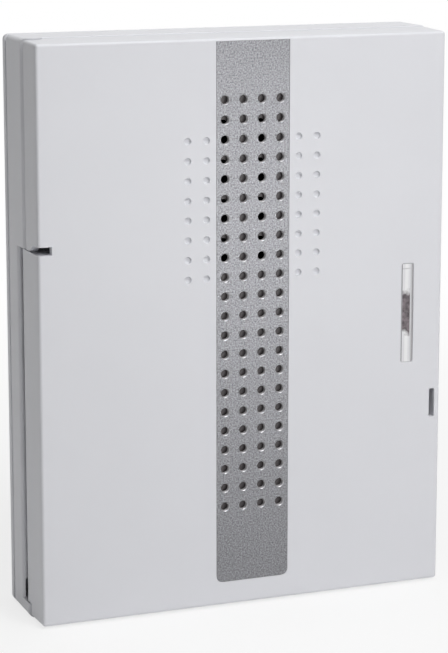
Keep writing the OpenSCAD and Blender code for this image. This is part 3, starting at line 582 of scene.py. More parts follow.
class Finish(Wire):
    """One material: a Principled shader with its constants; as a wire it is the place on the piece."""

    def __init__(self, name, colour, roughness, **constants):
        self.material = bpy.data.materials.new(name)
        self.material.use_nodes = True
        tree = self.material.node_tree
        super().__init__(tree, tree.nodes.new("ShaderNodeTexCoord").outputs["Object"])
        self.shader = tree.nodes["Principled BSDF"]
        self.set("Base Color", colour)
        self.set("Roughness", roughness)
        for socket, value in constants.items():
            self.set(socket.replace("_", " "), value)

    def set(self, socket, value):
        self.feed(self.shader.inputs[socket], value)

    def drawing(self):
        """Millimetres to the right, up the wall and out of the wall."""
        parts = [self.node("ShaderNodeSeparateXYZ", {}, {0: self}, out=n) for n in range(3)]
        return parts[0] * (1 / MM), parts[2] * (1 / MM), parts[1] * (-1 / MM)

    def weave(self, pitch):
        """Crossed threads: sin kx sin ky, where k gives them their pitch."""
        x, y, _ = self.drawing()
        return x.wave(pitch) * y.wave(pitch)

    def cloud(self, size, colour, share):
        """Colour that drifts in clouds between a darker share of itself and the whole."""
        dark = tuple(share * level for level in colour)
        self.set("Base Color", self.mix(self.noise(size), dark, colour))

    def bump(self, height, depth):
        """Surface relief: the height from 0 to 1 stands for a depth in millimetres."""
        self.set("Normal", self.node("ShaderNodeBump", {}, {"Distance": depth * MM, "Height": height}))


# Finishes

def moulding(name, colour, roughness, grain=0.35, depth=0.006, **constants):
    """Moulded plastic: a fine grain as relief and in its sheen, and a faint cloud in its colour."""
    finish = Finish(name, colour, roughness, **constants)
    fine = finish.noise(grain, 1.0)
    finish.cloud(9.0, colour, 0.9)
    finish.set("Roughness", roughness - 0.04 + 0.08 * fine)
    finish.bump(fine, depth)
    return finish.material


def metal(name, colour, roughness, grain=0.2, depth=0.004):
    """Plated metal: fully metallic, with a fine grain in its sheen and relief and a cloud in its colour."""
    finish = Finish(name, colour, roughness, Metallic=1.0)
    fine = finish.noise(grain, 3.0)
    finish.cloud(3.0, colour, 0.8)
    finish.set("Roughness", roughness - 0.1 + 0.2 * fine)
    finish.bump(fine, depth)
    return finish.material


def case_plastic():
    """White case plastic with a fine grain; the pockets behind the strip's holes are dark with painted shade.
    """
    finish = Finish("white_case_plastic", (0.74, 0.74, 0.755), 0.4)
    x, y, out = finish.drawing()
    fine = finish.noise(0.45, 1.0)
    white = finish.mix(finish.noise(26.0), (0.72, 0.724, 0.758), (0.745, 0.749, 0.784))
    # Painted shade: the recess floor and pockets behind the strip are coloured dark to stand for the shade in
    # the holes.
    behind = out.between(PLATE + 0.2, strip.low[2] - 0.02) * x.between(strip.low[0], strip.high[0])
    behind = behind * y.between(strip.low[1], STRIP_TOP)
    finish.set("Base Color", finish.mix(behind, white, (0.1, 0.088, 0.09)))
    finish.set("Roughness", 0.37 + 0.08 * fine)
    finish.bump(fine, 0.006)
    return finish.material


def silver_paint():
    """Silver paint on a coarse grain: light and dark flakes, a paler slope at each hole as a painted
    highlight, and matt pale walls as painted light in the holes.
    """
    finish = Finish("silver_paint", (0.36, 0.36, 0.375), 0.5)
    _, _, out = finish.drawing()
    flakes = finish.noise(0.5, 3.0)
    face = flakes.ramp((0.32, (0.122, 0.123, 0.131)), (0.68, (0.286, 0.288, 0.303)))
    # Painted highlight: the sloped rim of each hole is coloured paler to stand for the light it catches.
    face = finish.mix(out < FRONT - 0.03, face, (0.4, 0.4, 0.415))
    # Painted light: the hole walls are coloured pale and matt to stand for light falling on them.
    wall = out < FRONT - HOLE_SLOPE
    finish.set("Base Color", finish.mix(wall, face, (0.62, 0.61, 0.62)))
    finish.set("Metallic", 0.8 * (1 - wall))
    finish.set("Roughness", 0.44 - 0.24 * flakes)
    finish.bump(flakes, 0.1)
    return finish.material


def clear_plastic():
    """Clear guide coloured as the clear bar looks: a pale body with a lighter streak as painted light and
    highlight, and painted shade in a dark blotched middle that looks inside, on its right side and in grey
    lines along its edges and near its top.
    """
    finish = Finish("clear_guide_plastic", (0.8, 0.8, 0.81), 0.1, Coat_Weight=1.0)
    x, y, _ = finish.drawing()
    across = x - guide.mid[0]
    up = y - guide.mid[1]
    blotch = finish.noise(1.7, 3.0)
    ripple = up + 5.0 * (blotch - 0.5)
    # Painted shade: a dark blotched middle stands for the dim inside seen through the clear bar.
    dark = (ripple + 0.5 * across).step(-7.6, 1.8) * (1 - ripple.step(5.6, 2.0))
    painted_inside_shade = blotch.ramp((0.35, (0.04, 0.027, 0.034)), (0.65, (0.19, 0.15, 0.168)))
    # Painted light: a pale body, with a lighter streak just left of the middle as a painted highlight.
    pale = finish.mix(across.between(-0.8, 0.3), (0.76, 0.76, 0.78), (0.87, 0.87, 0.88))
    colour = finish.mix(dark, pale, painted_inside_shade)
    # Painted shade: the right side and a thin line near the top are a mid grey.
    colour = finish.mix(across > 0.9, colour, (0.64, 0.64, 0.66))
    colour = finish.mix(up.between(14.0, 14.4), colour, (0.62, 0.62, 0.64))
    # Painted shade: grey lines along both edges.
    lines = (across > 1.35) + (across < -1.7)
    finish.set("Base Color", finish.mix(lines, colour, (0.4, 0.39, 0.41)))
    finish.set("Roughness", 0.08 + 0.06 * blotch)
    return finish.material


def sleeve_film():
    """Dark shrink sleeve with a pale stripe down the left of each can."""
    film = (0.012, 0.02, 0.075)
    finish = Finish("can_sleeve_film", film, 0.22, Coat_Weight=0.4)
    x, y, out = finish.drawing()
    fine = finish.noise(0.8)
    stripe = sum(x.between(centre - 6, centre - 2) for centre, _ in can_places)
    stripe = stripe * (finish.sum("ABSOLUTE", y - cans.mid[1]) < 1.5) * (out < cans.high[2] - 0.5)
    finish.set("Base Color", finish.mix(stripe, film, (0.45, 0.5, 0.58)))
    finish.set("Roughness", 0.18 + 0.12 * fine)
    finish.bump(fine, 0.01)
    return finish.material


def resistor_lacquer():
    """Tan lacquer with four colour bands across each resistor."""
    finish = Finish("resistor_lacquer", (0.5, 0.36, 0.2), 0.3, Coat_Weight=0.5)
    _, y, _ = finish.drawing()
    fine = finish.noise(0.6)
    colour = finish.mix(fine, (0.46, 0.32, 0.17), (0.56, 0.41, 0.24))
    bands = ((2.05, (0.1, 0.03, 0.01)), (0.85, (0.01, 0.01, 0.01)), (-0.1, (0.3, 0.02, 0.01)),
             (-1.9, (0.35, 0.2, 0.03)))
    for place, band in bands:
        middle = ohms.mid[1] + place
        colour = finish.mix(y.between(middle - 0.28, middle + 0.28), colour, band)
    finish.set("Base Color", colour)
    finish.bump(fine, 0.02)
    return finish.material


def cell_film():
    """Cell jacket: a grey body with a dark band at the raised pole and a thin line, and bare metal ends."""
    finish = Finish("cell_jacket_film", (0.4, 0.42, 0.45), 0.28, Coat_Weight=0.3)
    x, y, _ = finish.drawing()
    middle_row = y.between(cell_y[1] - CELL_PITCH / 2, cell_y[1] + CELL_PITCH / 2)
    along = (x - cells.mid[0]) * (1 - 2 * middle_row)
    fine = finish.noise(16.0)
    body = finish.mix(fine, (0.38, 0.4, 0.43), (0.45, 0.47, 0.5))
    for low, high in ((8.0, 24.6), (6.2, 7.2)):
        body = finish.mix(along.between(low, high), body, (0.012, 0.05, 0.11))
    ends = (along > 23.9) + (along < -24.75)
    finish.set("Base Color", finish.mix(ends, body, (0.66, 0.66, 0.65)))
    finish.set("Metallic", ends)
    finish.set("Roughness", 0.22 + 0.12 * fine)
    return finish.material


def cone_pulp():
    """Pressed paper pulp: fine fibres as relief and in its shade."""
    finish = Finish("cone_pulp", (0.035, 0.034, 0.034), 0.85)
    fibre = finish.noise(0.7, 6.0, 2.0)
    finish.set("Base Color", fibre.ramp((0.35, (0.022, 0.021, 0.021)), (0.7, (0.06, 0.058, 0.056))))
    finish.set("Roughness", 0.75 + 0.2 * fibre)
    finish.bump(fibre, 0.05)
    return finish.material


def cap_cloth():
    """Woven cloth with threads 0.5 mm apart, under a dark dope."""
    finish = Finish("cap_cloth", (0.02, 0.02, 0.021), 0.5)
    level = 0.5 + 0.5 * finish.weave(0.5)
    finish.set("Base Color", finish.mix(level, (0.013, 0.013, 0.014), (0.035, 0.035, 0.036)))
    finish.set("Roughness", 0.4 + 0.25 * level)
    finish.bump(level, 0.04)
    return finish.material


def board_mask():
    """Green solder mask, with the weave of the glass cloth showing faintly through it."""
    finish = Finish("board_mask", (0.012, 0.085, 0.035), 0.3, Coat_Weight=0.3)
    weave = finish.weave(0.9)
    cloud = finish.noise(5.0)
    level = 0.5 + 0.25 * weave + 0.5 * (cloud - 0.5)
    finish.set("Base Color", finish.mix(level, (0.010, 0.070, 0.028), (0.016, 0.100, 0.042)))
    finish.set("Roughness", 0.26 + 0.1 * cloud)
    finish.bump(0.5 + 0.5 * weave, 0.006)
    return finish.material


def wound_copper():
    """Enamelled copper: turns 0.25 mm apart as relief along the coil, darker in the grooves between them as
    painted shade.
    """
    finish = Finish("coil_copper", (0.55, 0.22, 0.09), 0.35, Metallic=1.0)
    _, _, out = finish.drawing()
    turns = 0.5 + 0.5 * out.wave(0.25)
    # Painted shade: the colour darkens in the grooves between the turns.
    finish.set("Base Color", finish.mix(turns, (0.3, 0.1, 0.04), (0.6, 0.26, 0.11)))
    finish.bump(turns, 0.08)
    return finish.material


# Cover: cutters first, then its shell, strip and window

def hole_places(columns, rows):
    """Centres on the grid of strip holes; its columns run on past the strip for the dimples."""
    return [(strip.mid[0] + (column - (HOLE_COLS - 1) / 2) * HOLE_PITCH, HOLE_TOP - row * HOLE_PITCH)
            for column in columns for row in rows]


strip_grid = hole_places(range(HOLE_COLS), range(HOLE_ROWS))


def flared_slot(half, radius, flare, centre):
    """Cutter for a slot with a rounded rim: straight up to the rim, then wider by flare (1 - cos t)."""
    rows = [(0, radius, PLATE - 1)]
    rows += [(-away, radius + away, FRONT - flare + up) for away, up in quarter(flare, 6)]
    rows += [(-flare, radius + flare, FRONT + 1)]
    return rect_loft(stepped(half, rows), centre)


def strip_holes():
    """Cutters for holes with a sloped rim: straight up to the rim, then out along it, with eased corners."""
    back = strip.low[2] - 1
    wide = HOLE_R + HOLE_RIM
    rim = eased([[HOLE_R, back], [HOLE_R, FRONT - HOLE_SLOPE], [wide, FRONT], [wide, FRONT + 1]], 0.08)
    return turned_at(strip_grid, 0, np.vstack([[0, back], rim, [0, FRONT + 1]]), 28)


def strip_pockets():
    """Cutters for blind pockets in the cover's plate, one behind each strip hole."""
    radius = COLLAR_R + STRIP_GAP
    profile = [[0, -HOLE_DEEP], [radius - 0.15, -HOLE_DEEP], [radius, 0.15 - HOLE_DEEP], [radius, OVERLAP],
               [0, OVERLAP]]
    return turned_at(strip_grid, strip.low[2], profile, 24)


def sound_slots():
    """Cutters for upright slots through the plate, which let the sound out behind some of the holes."""
    levels = [(*SOUND_HALF, SOUND_HALF[0] - 0.05, out) for out in (PLATE - 1, strip.low[2] + OVERLAP)]
    return [rect_loft(levels, (x, y + SOUND_UP)) for x, y in hole_places(SOUND_COLS, SOUND_ROWS)]


def dimples():
    """Cutters for the dimples: a nearly flat floor, a steep wall and a small round rim."""
    profile = [[0, -0.74], [0.64, -0.74], [0.88, -0.66], [1.0, -0.5], [1.06, -0.18], [1.12, -0.05], [1.22, 0],
               [1.22, 1], [0, 1]]
    return turned_at(hole_places(DIMPLE_COLS, DIMPLE_ROWS), FRONT, profile, 28)


def nose_room(low, high):
    """Room for the base's hinge noses: a round sweep about the axis, open to the left below the lip."""
    inset = math.sqrt(SWEEP_R ** 2 - LIP ** 2)
    start = math.degrees(math.atan2(LIP, -inset))
    sweep = arc((hinge_x, hinge_out), SWEEP_R, start, -60)
    left = -CASE_W - 10
    outline = np.vstack([[left, hinge_out + LIP], sweep, [sweep[-1][0], 0], [left, 0]])
    return prism(outline, low, high, 1)


def strip_prism(gap, levels):
    """Strip's outline moved out by a gap: round corners below, square ones above; levels are (inset, z)."""
    half = strip.half[0] + gap
    low = strip.low[1] - gap
    top = STRIP_TOP + gap
    corners = np.array([[half, top], [-half, top], [-half, low], [half, low]]) + (strip.mid[0], 0)
    middle = corners.mean(0)
    room = np.array([half, (top - low) / 2])
    steps = 9
    outline = np.vstack([corners[:2], eased(corners, STRIP_R, closed=True, steps=steps)[2 * steps:]])
    return skin(np.array([np.insert((outline - middle) * (1 - inset / room) + middle, 2, out, axis=1)
                          for inset, out in levels]))


def cover_shell():
    """Hinged cover: a lofted tray, its barrel, latch ledge and notch webs, and openings with rounded rims."""
    inner = (CASE_W - WALL, CASE_H - WALL)
    inside = [(0.9, 0.3, PLATE), (0.5, 0.4, PLATE), (0.15, 0.6, PLATE - 0.15), (0, 0.7, PLATE - 0.5),
              (0, 0.7, SEAM + CHAMFER), (-CHAMFER, 0.8, SEAM)]
    outside = [(CHAMFER - DRAFT, EDGE, SEAM), (-DRAFT, EDGE, SEAM + CHAMFER)]
    outside += [(away, max(EDGE - away, 0.3), FRONT - EDGE + up) for away, up in quarter(EDGE, 7)]
    outside += [(EDGE + 0.4, 0.3, FRONT)]
    cover = solid("cover_shell", rect_loft(stepped(inner, inside) + stepped((CASE_W, CASE_H), outside)))
    barrel = np.vstack([arc((hinge_x, hinge_out), BARREL_R, 90, 360, 24),
                        [hinge_x + BARREL_R, SEAM + 1.3], [hinge_x, SEAM + 1.3]])
    right = inner[0]
    ledge = rounded_block((right - 0.6, SLOT_LOW, SEAM + 1.6), (right + 0.5, SLOT_HIGH, SEAM + 3.6), 0.2)
    join(cover, prism(barrel, BARREL_LOW, NOTCH_LOW, 1), ledge)
    join(cover, box((1 - CASE_W, NOTCH_LOW - WEB, SEAM + 1), (NOTCH_IN + 0.6, NOTCH_LOW, PLATE + 0.5)),
         box((1 - CASE_W, NOTCH_HIGH, hinge_out + 5), (NOTCH_IN + 0.6, NOTCH_HIGH + WEB, PLATE + 0.5)))
    cut(cover, nose_room(NOTCH_LOW, CASE_H + 5), nose_room(-CASE_H - 5, CORNER + SWING_GAP))
    slit = NOTCH_LOW + SWING_GAP
    notch = [[NOTCH_LOW, 5], [slit, 5], [slit, 24.5], [NOTCH_HIGH, 27.5], [NOTCH_HIGH, BEYOND],
             [NOTCH_LOW, BEYOND]]
    cut(cover, prism(notch, -CASE_W - 5, NOTCH_IN, 0))
    cut(cover, round_bar(PIN_R + PRESS_GAP, -CASE_H, BARREL_LOW + PIN_HOLD),
        round_bar(PIN_R + PRESS_GAP, NOTCH_LOW - PIN_HOLD, NOTCH_HIGH))
    cut(cover, strip_prism(STRIP_GAP, [(0, strip.low[2]), (0, FRONT + 3)]))
    cut(cover, flared_slot(WINDOW_HALF, 0.6, 0.3, guide.mid), flared_slot(SLOT_HALF, 0.3, 0.2, SLOT),
        *dimples())
    cut(cover, *strip_pockets())
    return cut(cover, *sound_slots())


def pierced_strip():
    """Silver strip with a round edge: every hole has a sloped rim and a collar at the back."""
    levels = [(0, strip.low[2])] + [(away, FRONT - STRIP_EDGE + up) for away, up in quarter(STRIP_EDGE, 6)]
    made = solid("pierced_strip", strip_prism(0, levels))
    join(made, *turned_at(strip_grid, strip.low[2], peg(COLLAR_R, -COLLAR_DEEP, OVERLAP), 24))
    return cut(made, *strip_holes())


def window_guide():
    """Clear guide: a bar in the window, a rim behind it and a stem down to the lamp."""
    x, y, _ = guide.mid
    made = solid("window_guide", rounded_block(*about(x, y, 3.4, 17.2, PLATE - 1.2, PLATE), 0.25))
    return join(made, rounded_block(*about(x, y, 1.95, 15.75, PLATE - 0.5, guide.high[2]), 0.3),
                rounded_block(*about(x, bulb.mid[1], 1.5, 4, guide.low[2], PLATE - 0.9), 0.3))


# Base, hinge pins and latch

def base_tray():
    """Rear base: a lofted tray with its shadow groove, hinge noses, tongues, posts, battery bay and lugs."""
    rear = [(RIM_EASE - up, BASE_R, away) for away, up in quarter(RIM_EASE, 5)]
    groove = [(0, BASE_R, GROOVE_LOW - GROOVE_EASE), (GROOVE_EASE, BASE_R, GROOVE_LOW),
              (GROOVE_IN, 0.8, GROOVE_LOW), (GROOVE_IN, 0.8, GROOVE_HIGH),
              (GROOVE_EASE, BASE_R, GROOVE_HIGH), (0, BASE_R, GROOVE_HIGH + GROOVE_EASE)]
    rim = [(inset, BASE_R, BASE_RIM - out) for inset, _, out in rear[::-1]]
    inside = [(-CHAMFER, 0.8, BASE_RIM), (0, 0.7, BASE_RIM - CHAMFER), (0, 0.7, FLOOR + 0.6),
              (0.18, 0.6, FLOOR + 0.18), (0.6, 0.4, FLOOR)]
    levels = stepped((BASE_W, BASE_H), rear + groove + rim) + stepped((BASE_W - WALL, BASE_H - WALL), inside)
    base = solid("base_tray", rect_loft(levels))
    cut(base, box((-CASE_W - 20, CORNER, GAP_OUT), (hinge_x + SWEEP_R, NOSE_LOW, BEYOND)))
    join(base, round_bar(WALL / 2, CORNER - 1, NOSE_LOW, WALL / 2 - BASE_W, GAP_OUT))
    cut(base, box((0.8 - BASE_W, CORNER, 8), (hinge_x, BARREL_LOW, BEYOND)))
    join(base, *hinge_noses())
    combine(base, "INTERSECT", [rect_loft([(BASE_W, BASE_H, BASE_R, out) for out in (-1, BEYOND)])])
    join(base, *[tongue(side * TONGUE_ENDS, END_RUN, 0) for side in (-1, 1)])
    join(base, *[tongue(TONGUE_SIDE, run, 1) for run in SIDE_RUNS])
    join(base, *base_posts())
    join(base, *bay_walls())
    join(base, *latch_lugs())
    cut(base, round_bar(PIN_R + TURN_GAP, NOTCH_LOW - 1, NOSE_LOW + PIN_REACH + 0.5),
        round_bar(PIN_R + TURN_GAP, CORNER - PIN_FOOT - 0.5, CORNER + 1),
        round_bar(STUB_R + TURN_GAP, SLOT[1] - 9, SLOT[1] + 9, latch_x, LATCH_OUT))
    return cut(base, *floor_holes(WALL_SCREW_R, WALL_SCREWS), *floor_holes(CABLE_R, [CABLE_ENTRY]))


def floor_holes(radius, places):
    """Cutters for holes in the base's floor with eased edges at both faces."""
    wide = radius + 0.3
    profile = [[0, -1], [wide, -1], [wide, 0], [radius, 0.3], [radius, FLOOR - 0.3], [wide, FLOOR],
               [wide, FLOOR + 1], [0, FLOOR + 1]]
    return turned_at(places, 0, profile, 40)


def hinge_noses():
    """Round noses that hold the hinge pins, cut flat along the base's outer face."""
    noses = []
    left = math.degrees(math.acos(-(BASE_W + hinge_x) / NOSE_R))
    lip = TONGUE_ENDS[1]
    for low, high, right in ((NOTCH_LOW + SWING_GAP, lip, NOSE_REACH), (lip, BASE_H - 0.02, NOSE_R),
                             (0.02 - BASE_H, CORNER, NOSE_R)):
        start = math.degrees(math.acos(right / NOSE_R))
        top = arc((hinge_x, hinge_out), NOSE_R, start, left, 24)
        foot = [[-BASE_W, NOSE_FOOT], [WALL - BASE_W + 0.3, NOSE_FOOT], [hinge_x + right, hinge_out - NOSE_R]]
        noses.append(prism(np.vstack([top, foot]), low, high, 1))
    return noses


def tongue(across, run, axis):
    """Tongue behind the seam: a foot that joins the wall and a thinner lip above the rim."""
    inner, lip, wall = across
    section = [[inner, TONGUE_LOW], [wall, TONGUE_LOW], [wall, BASE_RIM], [lip, BASE_RIM], [lip, TONGUE_TOP],
               [inner, TONGUE_TOP]]
    return prism(eased(section, 0.25, closed=True, steps=3), *run, axis)


def base_posts():
    """Screw posts with a bore and a flared foot, and the loudspeaker's seat."""
    posts = []
    for places, top in ((board_screws, board.low[2]), (speaker_ears, flange)):
        profile = [[0, ROOT], [3.9, ROOT], [3.9, FLOOR], [3.25, FLOOR + 0.25], [3.0, FLOOR + 0.9],
                   [3.0, top - CHAMFER], [2.75, top], [1.55, top], [1.3, top - CHAMFER], [1.3, 3.9], [0, 3.9]]
        posts += turned_at(places, 0, profile)
    seat = [[0, ROOT], [10.5, ROOT], [10.5, FLOOR], [10.0, FLOOR + 0.3], [10.0, 3.2], [9.8, 3.4], [0, 3.4]]
    return [*posts, turned(seat, speaker_at, 64)]


def bay_walls():
    """Battery bay: four walls as one ring of rounded rectangles, and low ribs between the cells."""
    centre = (-32.35, -36.8)
    outer = (29.45, 24.4)
    inner = (27.85, 22.8)
    top = 12.0
    levels = stepped(outer, [(0, 0.8, ROOT), (0, 0.8, top - CHAMFER), (CHAMFER, 0.6, top)])
    levels += stepped(inner, [(-CHAMFER, 0.5, top), (0, 0.4, top - CHAMFER), (0, 0.4, ROOT)])
    ribs = [rounded_block(*about(centre[0], centre[1] + side * CELL_PITCH / 2, 25.25, 0.4, ROOT, 4.6), 0.2)
            for side in (-1, 1)]
    return [rect_loft(levels, centre, ring=True), *ribs]


def latch_lugs():
    """Two lugs that carry the latch lever's stubs, round at the top."""
    round_top = arc((latch_x, LATCH_OUT), LUG_R, 0, 180, 20)
    outline = np.vstack([round_top, [latch_x - LUG_R, ROOT], [latch_x + LUG_R, ROOT]])
    middles = (SLOT[1] - LUG_AWAY, SLOT[1] + LUG_AWAY)
    return [prism(outline, y - LUG_HALF, y + LUG_HALF, 1) for y in middles]


def hinge_pin_rods():
    """Two steel pins with round ends."""
    pins = []
    tip = PIN_R - CHAMFER
    for low, high in ((NOTCH_LOW - PIN_HOLD, NOSE_LOW + PIN_REACH),
                      (CORNER - PIN_FOOT, BARREL_LOW + PIN_HOLD)):
        profile = [[0, low], [tip, low], [PIN_R, low + CHAMFER], [PIN_R, high - CHAMFER], [tip, high],
                   [0, high]]
        pins.append(turned(eased(profile, 0.15), (hinge_x, 0, hinge_out), 32, axis=1))
    return solid("hinge_pin_rods", *pins)


def latch_arm():
    """Latch lever: a springy arm with a sloped hook, on a round pivot with two stubs."""
    back = latch.low[0]
    face = back + LATCH_T
    hook = face + HOOK
    outline = [[back, LATCH_OUT], [face, LATCH_OUT], [face, 20.9], [hook, 20.9], [hook, 21.5], [face, 23.3],
               [face, 25.6], [back + 0.4, 27.2], [back, 27.2]]
    pivot = ((back + face) / 2, LATCH_OUT)
    arm = solid("latch_arm", prism(outline, SLOT_LOW, SLOT_HIGH, 1))
    join(arm, round_bar(LATCH_T / 2, SLOT_LOW, SLOT_HIGH, *pivot))
    join(arm, round_bar(STUB_R, latch.low[1], latch.high[1], *pivot))
    grips = [round_bar(0.25, SLOT_LOW - 1, SLOT_HIGH + 1, back - 0.05, out) for out in (24.6, 25.4, 26.2)]
    return cut(arm, *grips)


# Board and what stands on it

def board_sheet():
    """Circuit board: a sheet with eased corners and four screw holes."""
    rows = [(0.1, 0.9, board.low[2]), (0, 1.0, board.low[2] + 0.1), (0, 1.0, board_face - 0.1),
            (0.1, 0.9, board_face)]
    sheet = solid("board_sheet", rect_loft(stepped(board.half, rows), board.mid))
    return cut(sheet, *turned_at(board_screws, board.low[2], peg(SCREW_BORE, -5, 5)))


def board_tracks():
    """Copper tracks under the mask."""
    return solid("board_tracks", *[track(line, TRACK_W, TRACK_T) for line in TRACKS])


def board_print():
    """Thin printed outlines round the parts on the board."""
    lines = []
    rooms = {"volume_pot": 0.8, "tune_switch": 0.8, "rectifier": 0.7, "terminal_block": 0.7}
    for node, room in rooms.items():
        part = Room(node)
        lines.append(CORNERS * (part.half[:2] + room) + part.mid[:2])
    lines += [CORNERS * (1.5, 3.5) + (x, ohms.mid[1]) for x in ohm_x]
    lines += [arc(centre, CAN_R + 0.6, 0, 350, 36) for centre in can_places]
    return solid("board_print", *[track(line, INK_W, INK_T, closed=True) for line in lines])


def solder_joints():
    """Small cones of solder: round each chip leg, resistor lead and wire."""
    places = [(x, chip.mid[1] + side * LEG_AWAY) for x in chip_leg_x for side in (-1, 1)]
    places += [(x, ohms.mid[1] + side * OHM_BEND) for x in ohm_x for side in (-1, 1)]
    small = eased([[0, 0], [0.85, 0], [0.8, 0.12], [0.45, 0.3], [0.3, 0.7], [0, 0.75]], 0.1)
    large = eased([[0, 0], [1.5, 0], [1.4, 0.15], [0.95, 0.4], [0.75, 1.0], [0, 1.1]], 0.15)
    return solid("solder_joints", *turned_at(places, board_face, small, 12),
                 *turned_at(PADS, board_face, large, 16))


def pan_screws(name, places, seat, shank):
    """Pan-head screws with a cross recess: a domed head over a plain shank."""
    profile = eased([[0, -shank], [0.9, -shank], [1.25, 0.5 - shank], [1.25, 0], [2.75, 0], [2.75, 0.7],
                     [2.35, 1.35], [1.4, 1.72], [0, 1.8]], 0.25)
    return cross_cut(solid(name, *turned_at(places, seat, profile)), places, 1.5, 0.4, seat + 0.8)


def terminal_housing():
    """Terminal block: a rounded housing with a screw well and a funnel for the wire at each pole."""
    low, high = terminal.low, terminal.high
    middle = terminal.mid[1]
    housing = solid("terminal_housing", rounded_block(low, high, 0.35))
    well = [[0, -WELL_DEEP], [2.2, -WELL_DEEP], [2.2, -0.4], [2.6, 0.05], [2.6, 2], [0, 2]]
    cut(housing, *turned_at(poles, high[2], well))
    edge = low[1]
    mouth = [[0, edge - 1], [2.3, edge - 1], [2.3, edge], [1.8, edge + 0.9], [1.8, middle], [0, middle]]
    cut(housing, *[turned(mouth, (x, 0, board_face + 3.4), 32, axis=1) for x in pole_x])
    slits = [box(*about(x, y, 0.2, 0.6, board_face + 1, high[2] + 1))
             for x in (pole_x[:-1] + pole_x[1:]) / 2 for y in (low[1], high[1])]
    return cut(housing, *slits)


def terminal_clamps():
    """Slotted clamp screws down in the terminal wells."""
    seat = terminal.high[2] - WELL_DEEP
    profile = eased([[0, 0], [2.15, 0], [2.15, 2.1], [1.9, 2.4], [0, 2.4]], 0.2)
    made = solid("terminal_clamps", *turned_at(poles, seat, profile))
    return cut(made, *[box(*about(x, y, 3, 0.4, seat + 1.6, seat + 4)) for x, y in poles])


def chip_body():
    """Moulded chip: sides that taper from a parting line, an end notch and a round mark by the first leg."""
    x, y, _ = chip.half
    low, middle, high = chip.low[2], chip.mid[2], chip.high[2]
    levels = [(x - 0.35, y - 0.3, 0.1, low), (x - 0.3, y - 0.25, 0.15, low + 0.1),
              (x, y, 0.2, middle - 0.1), (x, y, 0.2, middle + 0.1),
              (x - 0.3, y - 0.25, 0.15, high - 0.1), (x - 0.35, y - 0.3, 0.1, high)]
    body = solid("chip_body", rect_loft(levels, chip.mid))
    mark = [[0, -0.15], [0.5, -0.15], [0.6, 1], [0, 1]]
    return cut(body, turned(peg(1.1, -0.4, 1), (chip.low[0], chip.mid[1], high), 32),
               turned(mark, (chip.low[0] + 1.6, chip.mid[1] - 1.9, high), 24))


def chip_pins():
    """Bent chip legs: a wide shoulder out of the body, then a narrow pin down to the board."""
    shoulders = []
    pins = []
    middle = chip.mid[2]
    for x in chip_leg_x:
        for side in (-1, 1):
            near, knee, far = chip.mid[1] + side * np.array([3.2, 3.7, 4.1])
            low, high = sorted((near, far))
            shoulders.append(rounded_block((x - 0.6, low, middle - 0.4), (x + 0.6, high, middle), 0.12, 3))
            low, high = sorted((knee, far))
            pins.append(rounded_block((x - 0.3, low, board_face), (x + 0.3, high, middle - 0.1), 0.1, 3))
    return join(solid("chip_pins", *shoulders), *pins)


def can_sleeves():
    """Electrolytic cans: a shrunk sleeve over a rolled bead, folded over the rim at the top."""
    top = cans.high[2] - board_face
    profile = [[0, 0], [4.7, 0], [CAN_R, 0.35], [CAN_R, 1.5], [4.6, 2.0], [CAN_R, 2.5], [CAN_R, top - 0.6],
               [4.4, top], [3.9, top], [3.8, top - 0.3], [0, top - 0.3]]
    return solid("can_sleeves", *turned_at(can_places, board_face, eased(profile, 0.45, steps=5), 48))


def can_lids():
    """Bare metal lids inside the sleeves, scored with a cross that lets a can vent."""
    seat = cans.high[2] - 0.3
    lids = solid("can_lids", *turned_at(can_places, seat, peg(3.75, 0, 0.12), 40))
    return cross_cut(lids, can_places, 2.6, 0.12, seat + 0.05)


def rectifier_block():
    """Rectifier: a moulded block with one corner cut off."""
    room = Room("rectifier")
    x, y, _ = room.half
    outline = np.array([[-x, -y], [x, -y], [x, y], [0.8 - x, y], [-x, y - 0.8]]) + room.mid[:2]
    return solid("rectifier_block", prism(outline, room.low[2], room.high[2]))


def resistor_bodies():
    """Lacquered resistors: thicker at both ends than in the middle."""
    profile = eased([[0, -3.0], [0.7, -3.0], [OHM_R, -2.5], [OHM_R, -1.6], [0.92, -1.2], [0.92, 1.2],
                     [OHM_R, 1.6], [OHM_R, 2.5], [0.7, 3.0], [0, 3.0]], 0.4)
    out = board_face + OHM_R
    return solid("resistor_bodies", *[turned(profile, (x, ohms.mid[1], out), 28, axis=1) for x in ohm_x])


def resistor_wires():
    """Tinned wires out of both ends of each resistor, bent down to the board."""
    wires = []
    out = board_face + OHM_R
    for x in ohm_x:
        for near, far in ohms.mid[1] + np.array([[-2.8, -OHM_BEND], [2.8, OHM_BEND]]):
            wires.append(tube(eased([(x, near, out), (x, far, out), (x, far, board_face)], 0.6), 0.2, 8))
    return solid("resistor_wires", *wires)


def lamp_bulb():
    """Signal lamp: a domed bulb on a flat rim."""
    low, high = bulb.low[2], bulb.high[2]
    side = eased([[0, low], [2.9, low], [2.9, low + 1], [2.5, low + 1.05], [2.5, high - 2.6]], 0.15)
    dome = arc((0, high - 2.5), 2.5, 0, 90, 14)
    return solid("lamp_bulb", turned(np.vstack([side, dome]), (*bulb.mid[:2], 0), 40))


def trimmer_body():
    """Volume trimmer: a square body with a raised collar round its shaft and four corner pips."""
    room = Room("volume_pot")
    x, y, _ = room.mid
    high = room.high[2]
    body = solid("trimmer_body", rounded_block(room.low, (*room.high[:2], high - 0.25), 0.3))
    collar = [[0, -1], [3.4, -1], [3.4, -0.1], [3.3, 0], [0, 0]]
    pip = [[0, -1], [0.6, -1], [0.6, -0.15], [0.45, 0], [0, 0]]
    join(body, turned(collar, (x, y, high), 40), *turned_at(four_about(room.mid, 3.9, 3.9), high, pip, 16))
    return cut(body, turned(peg(1.55, room.low[2] + 1, high + 1), (x, y, 0), 32))


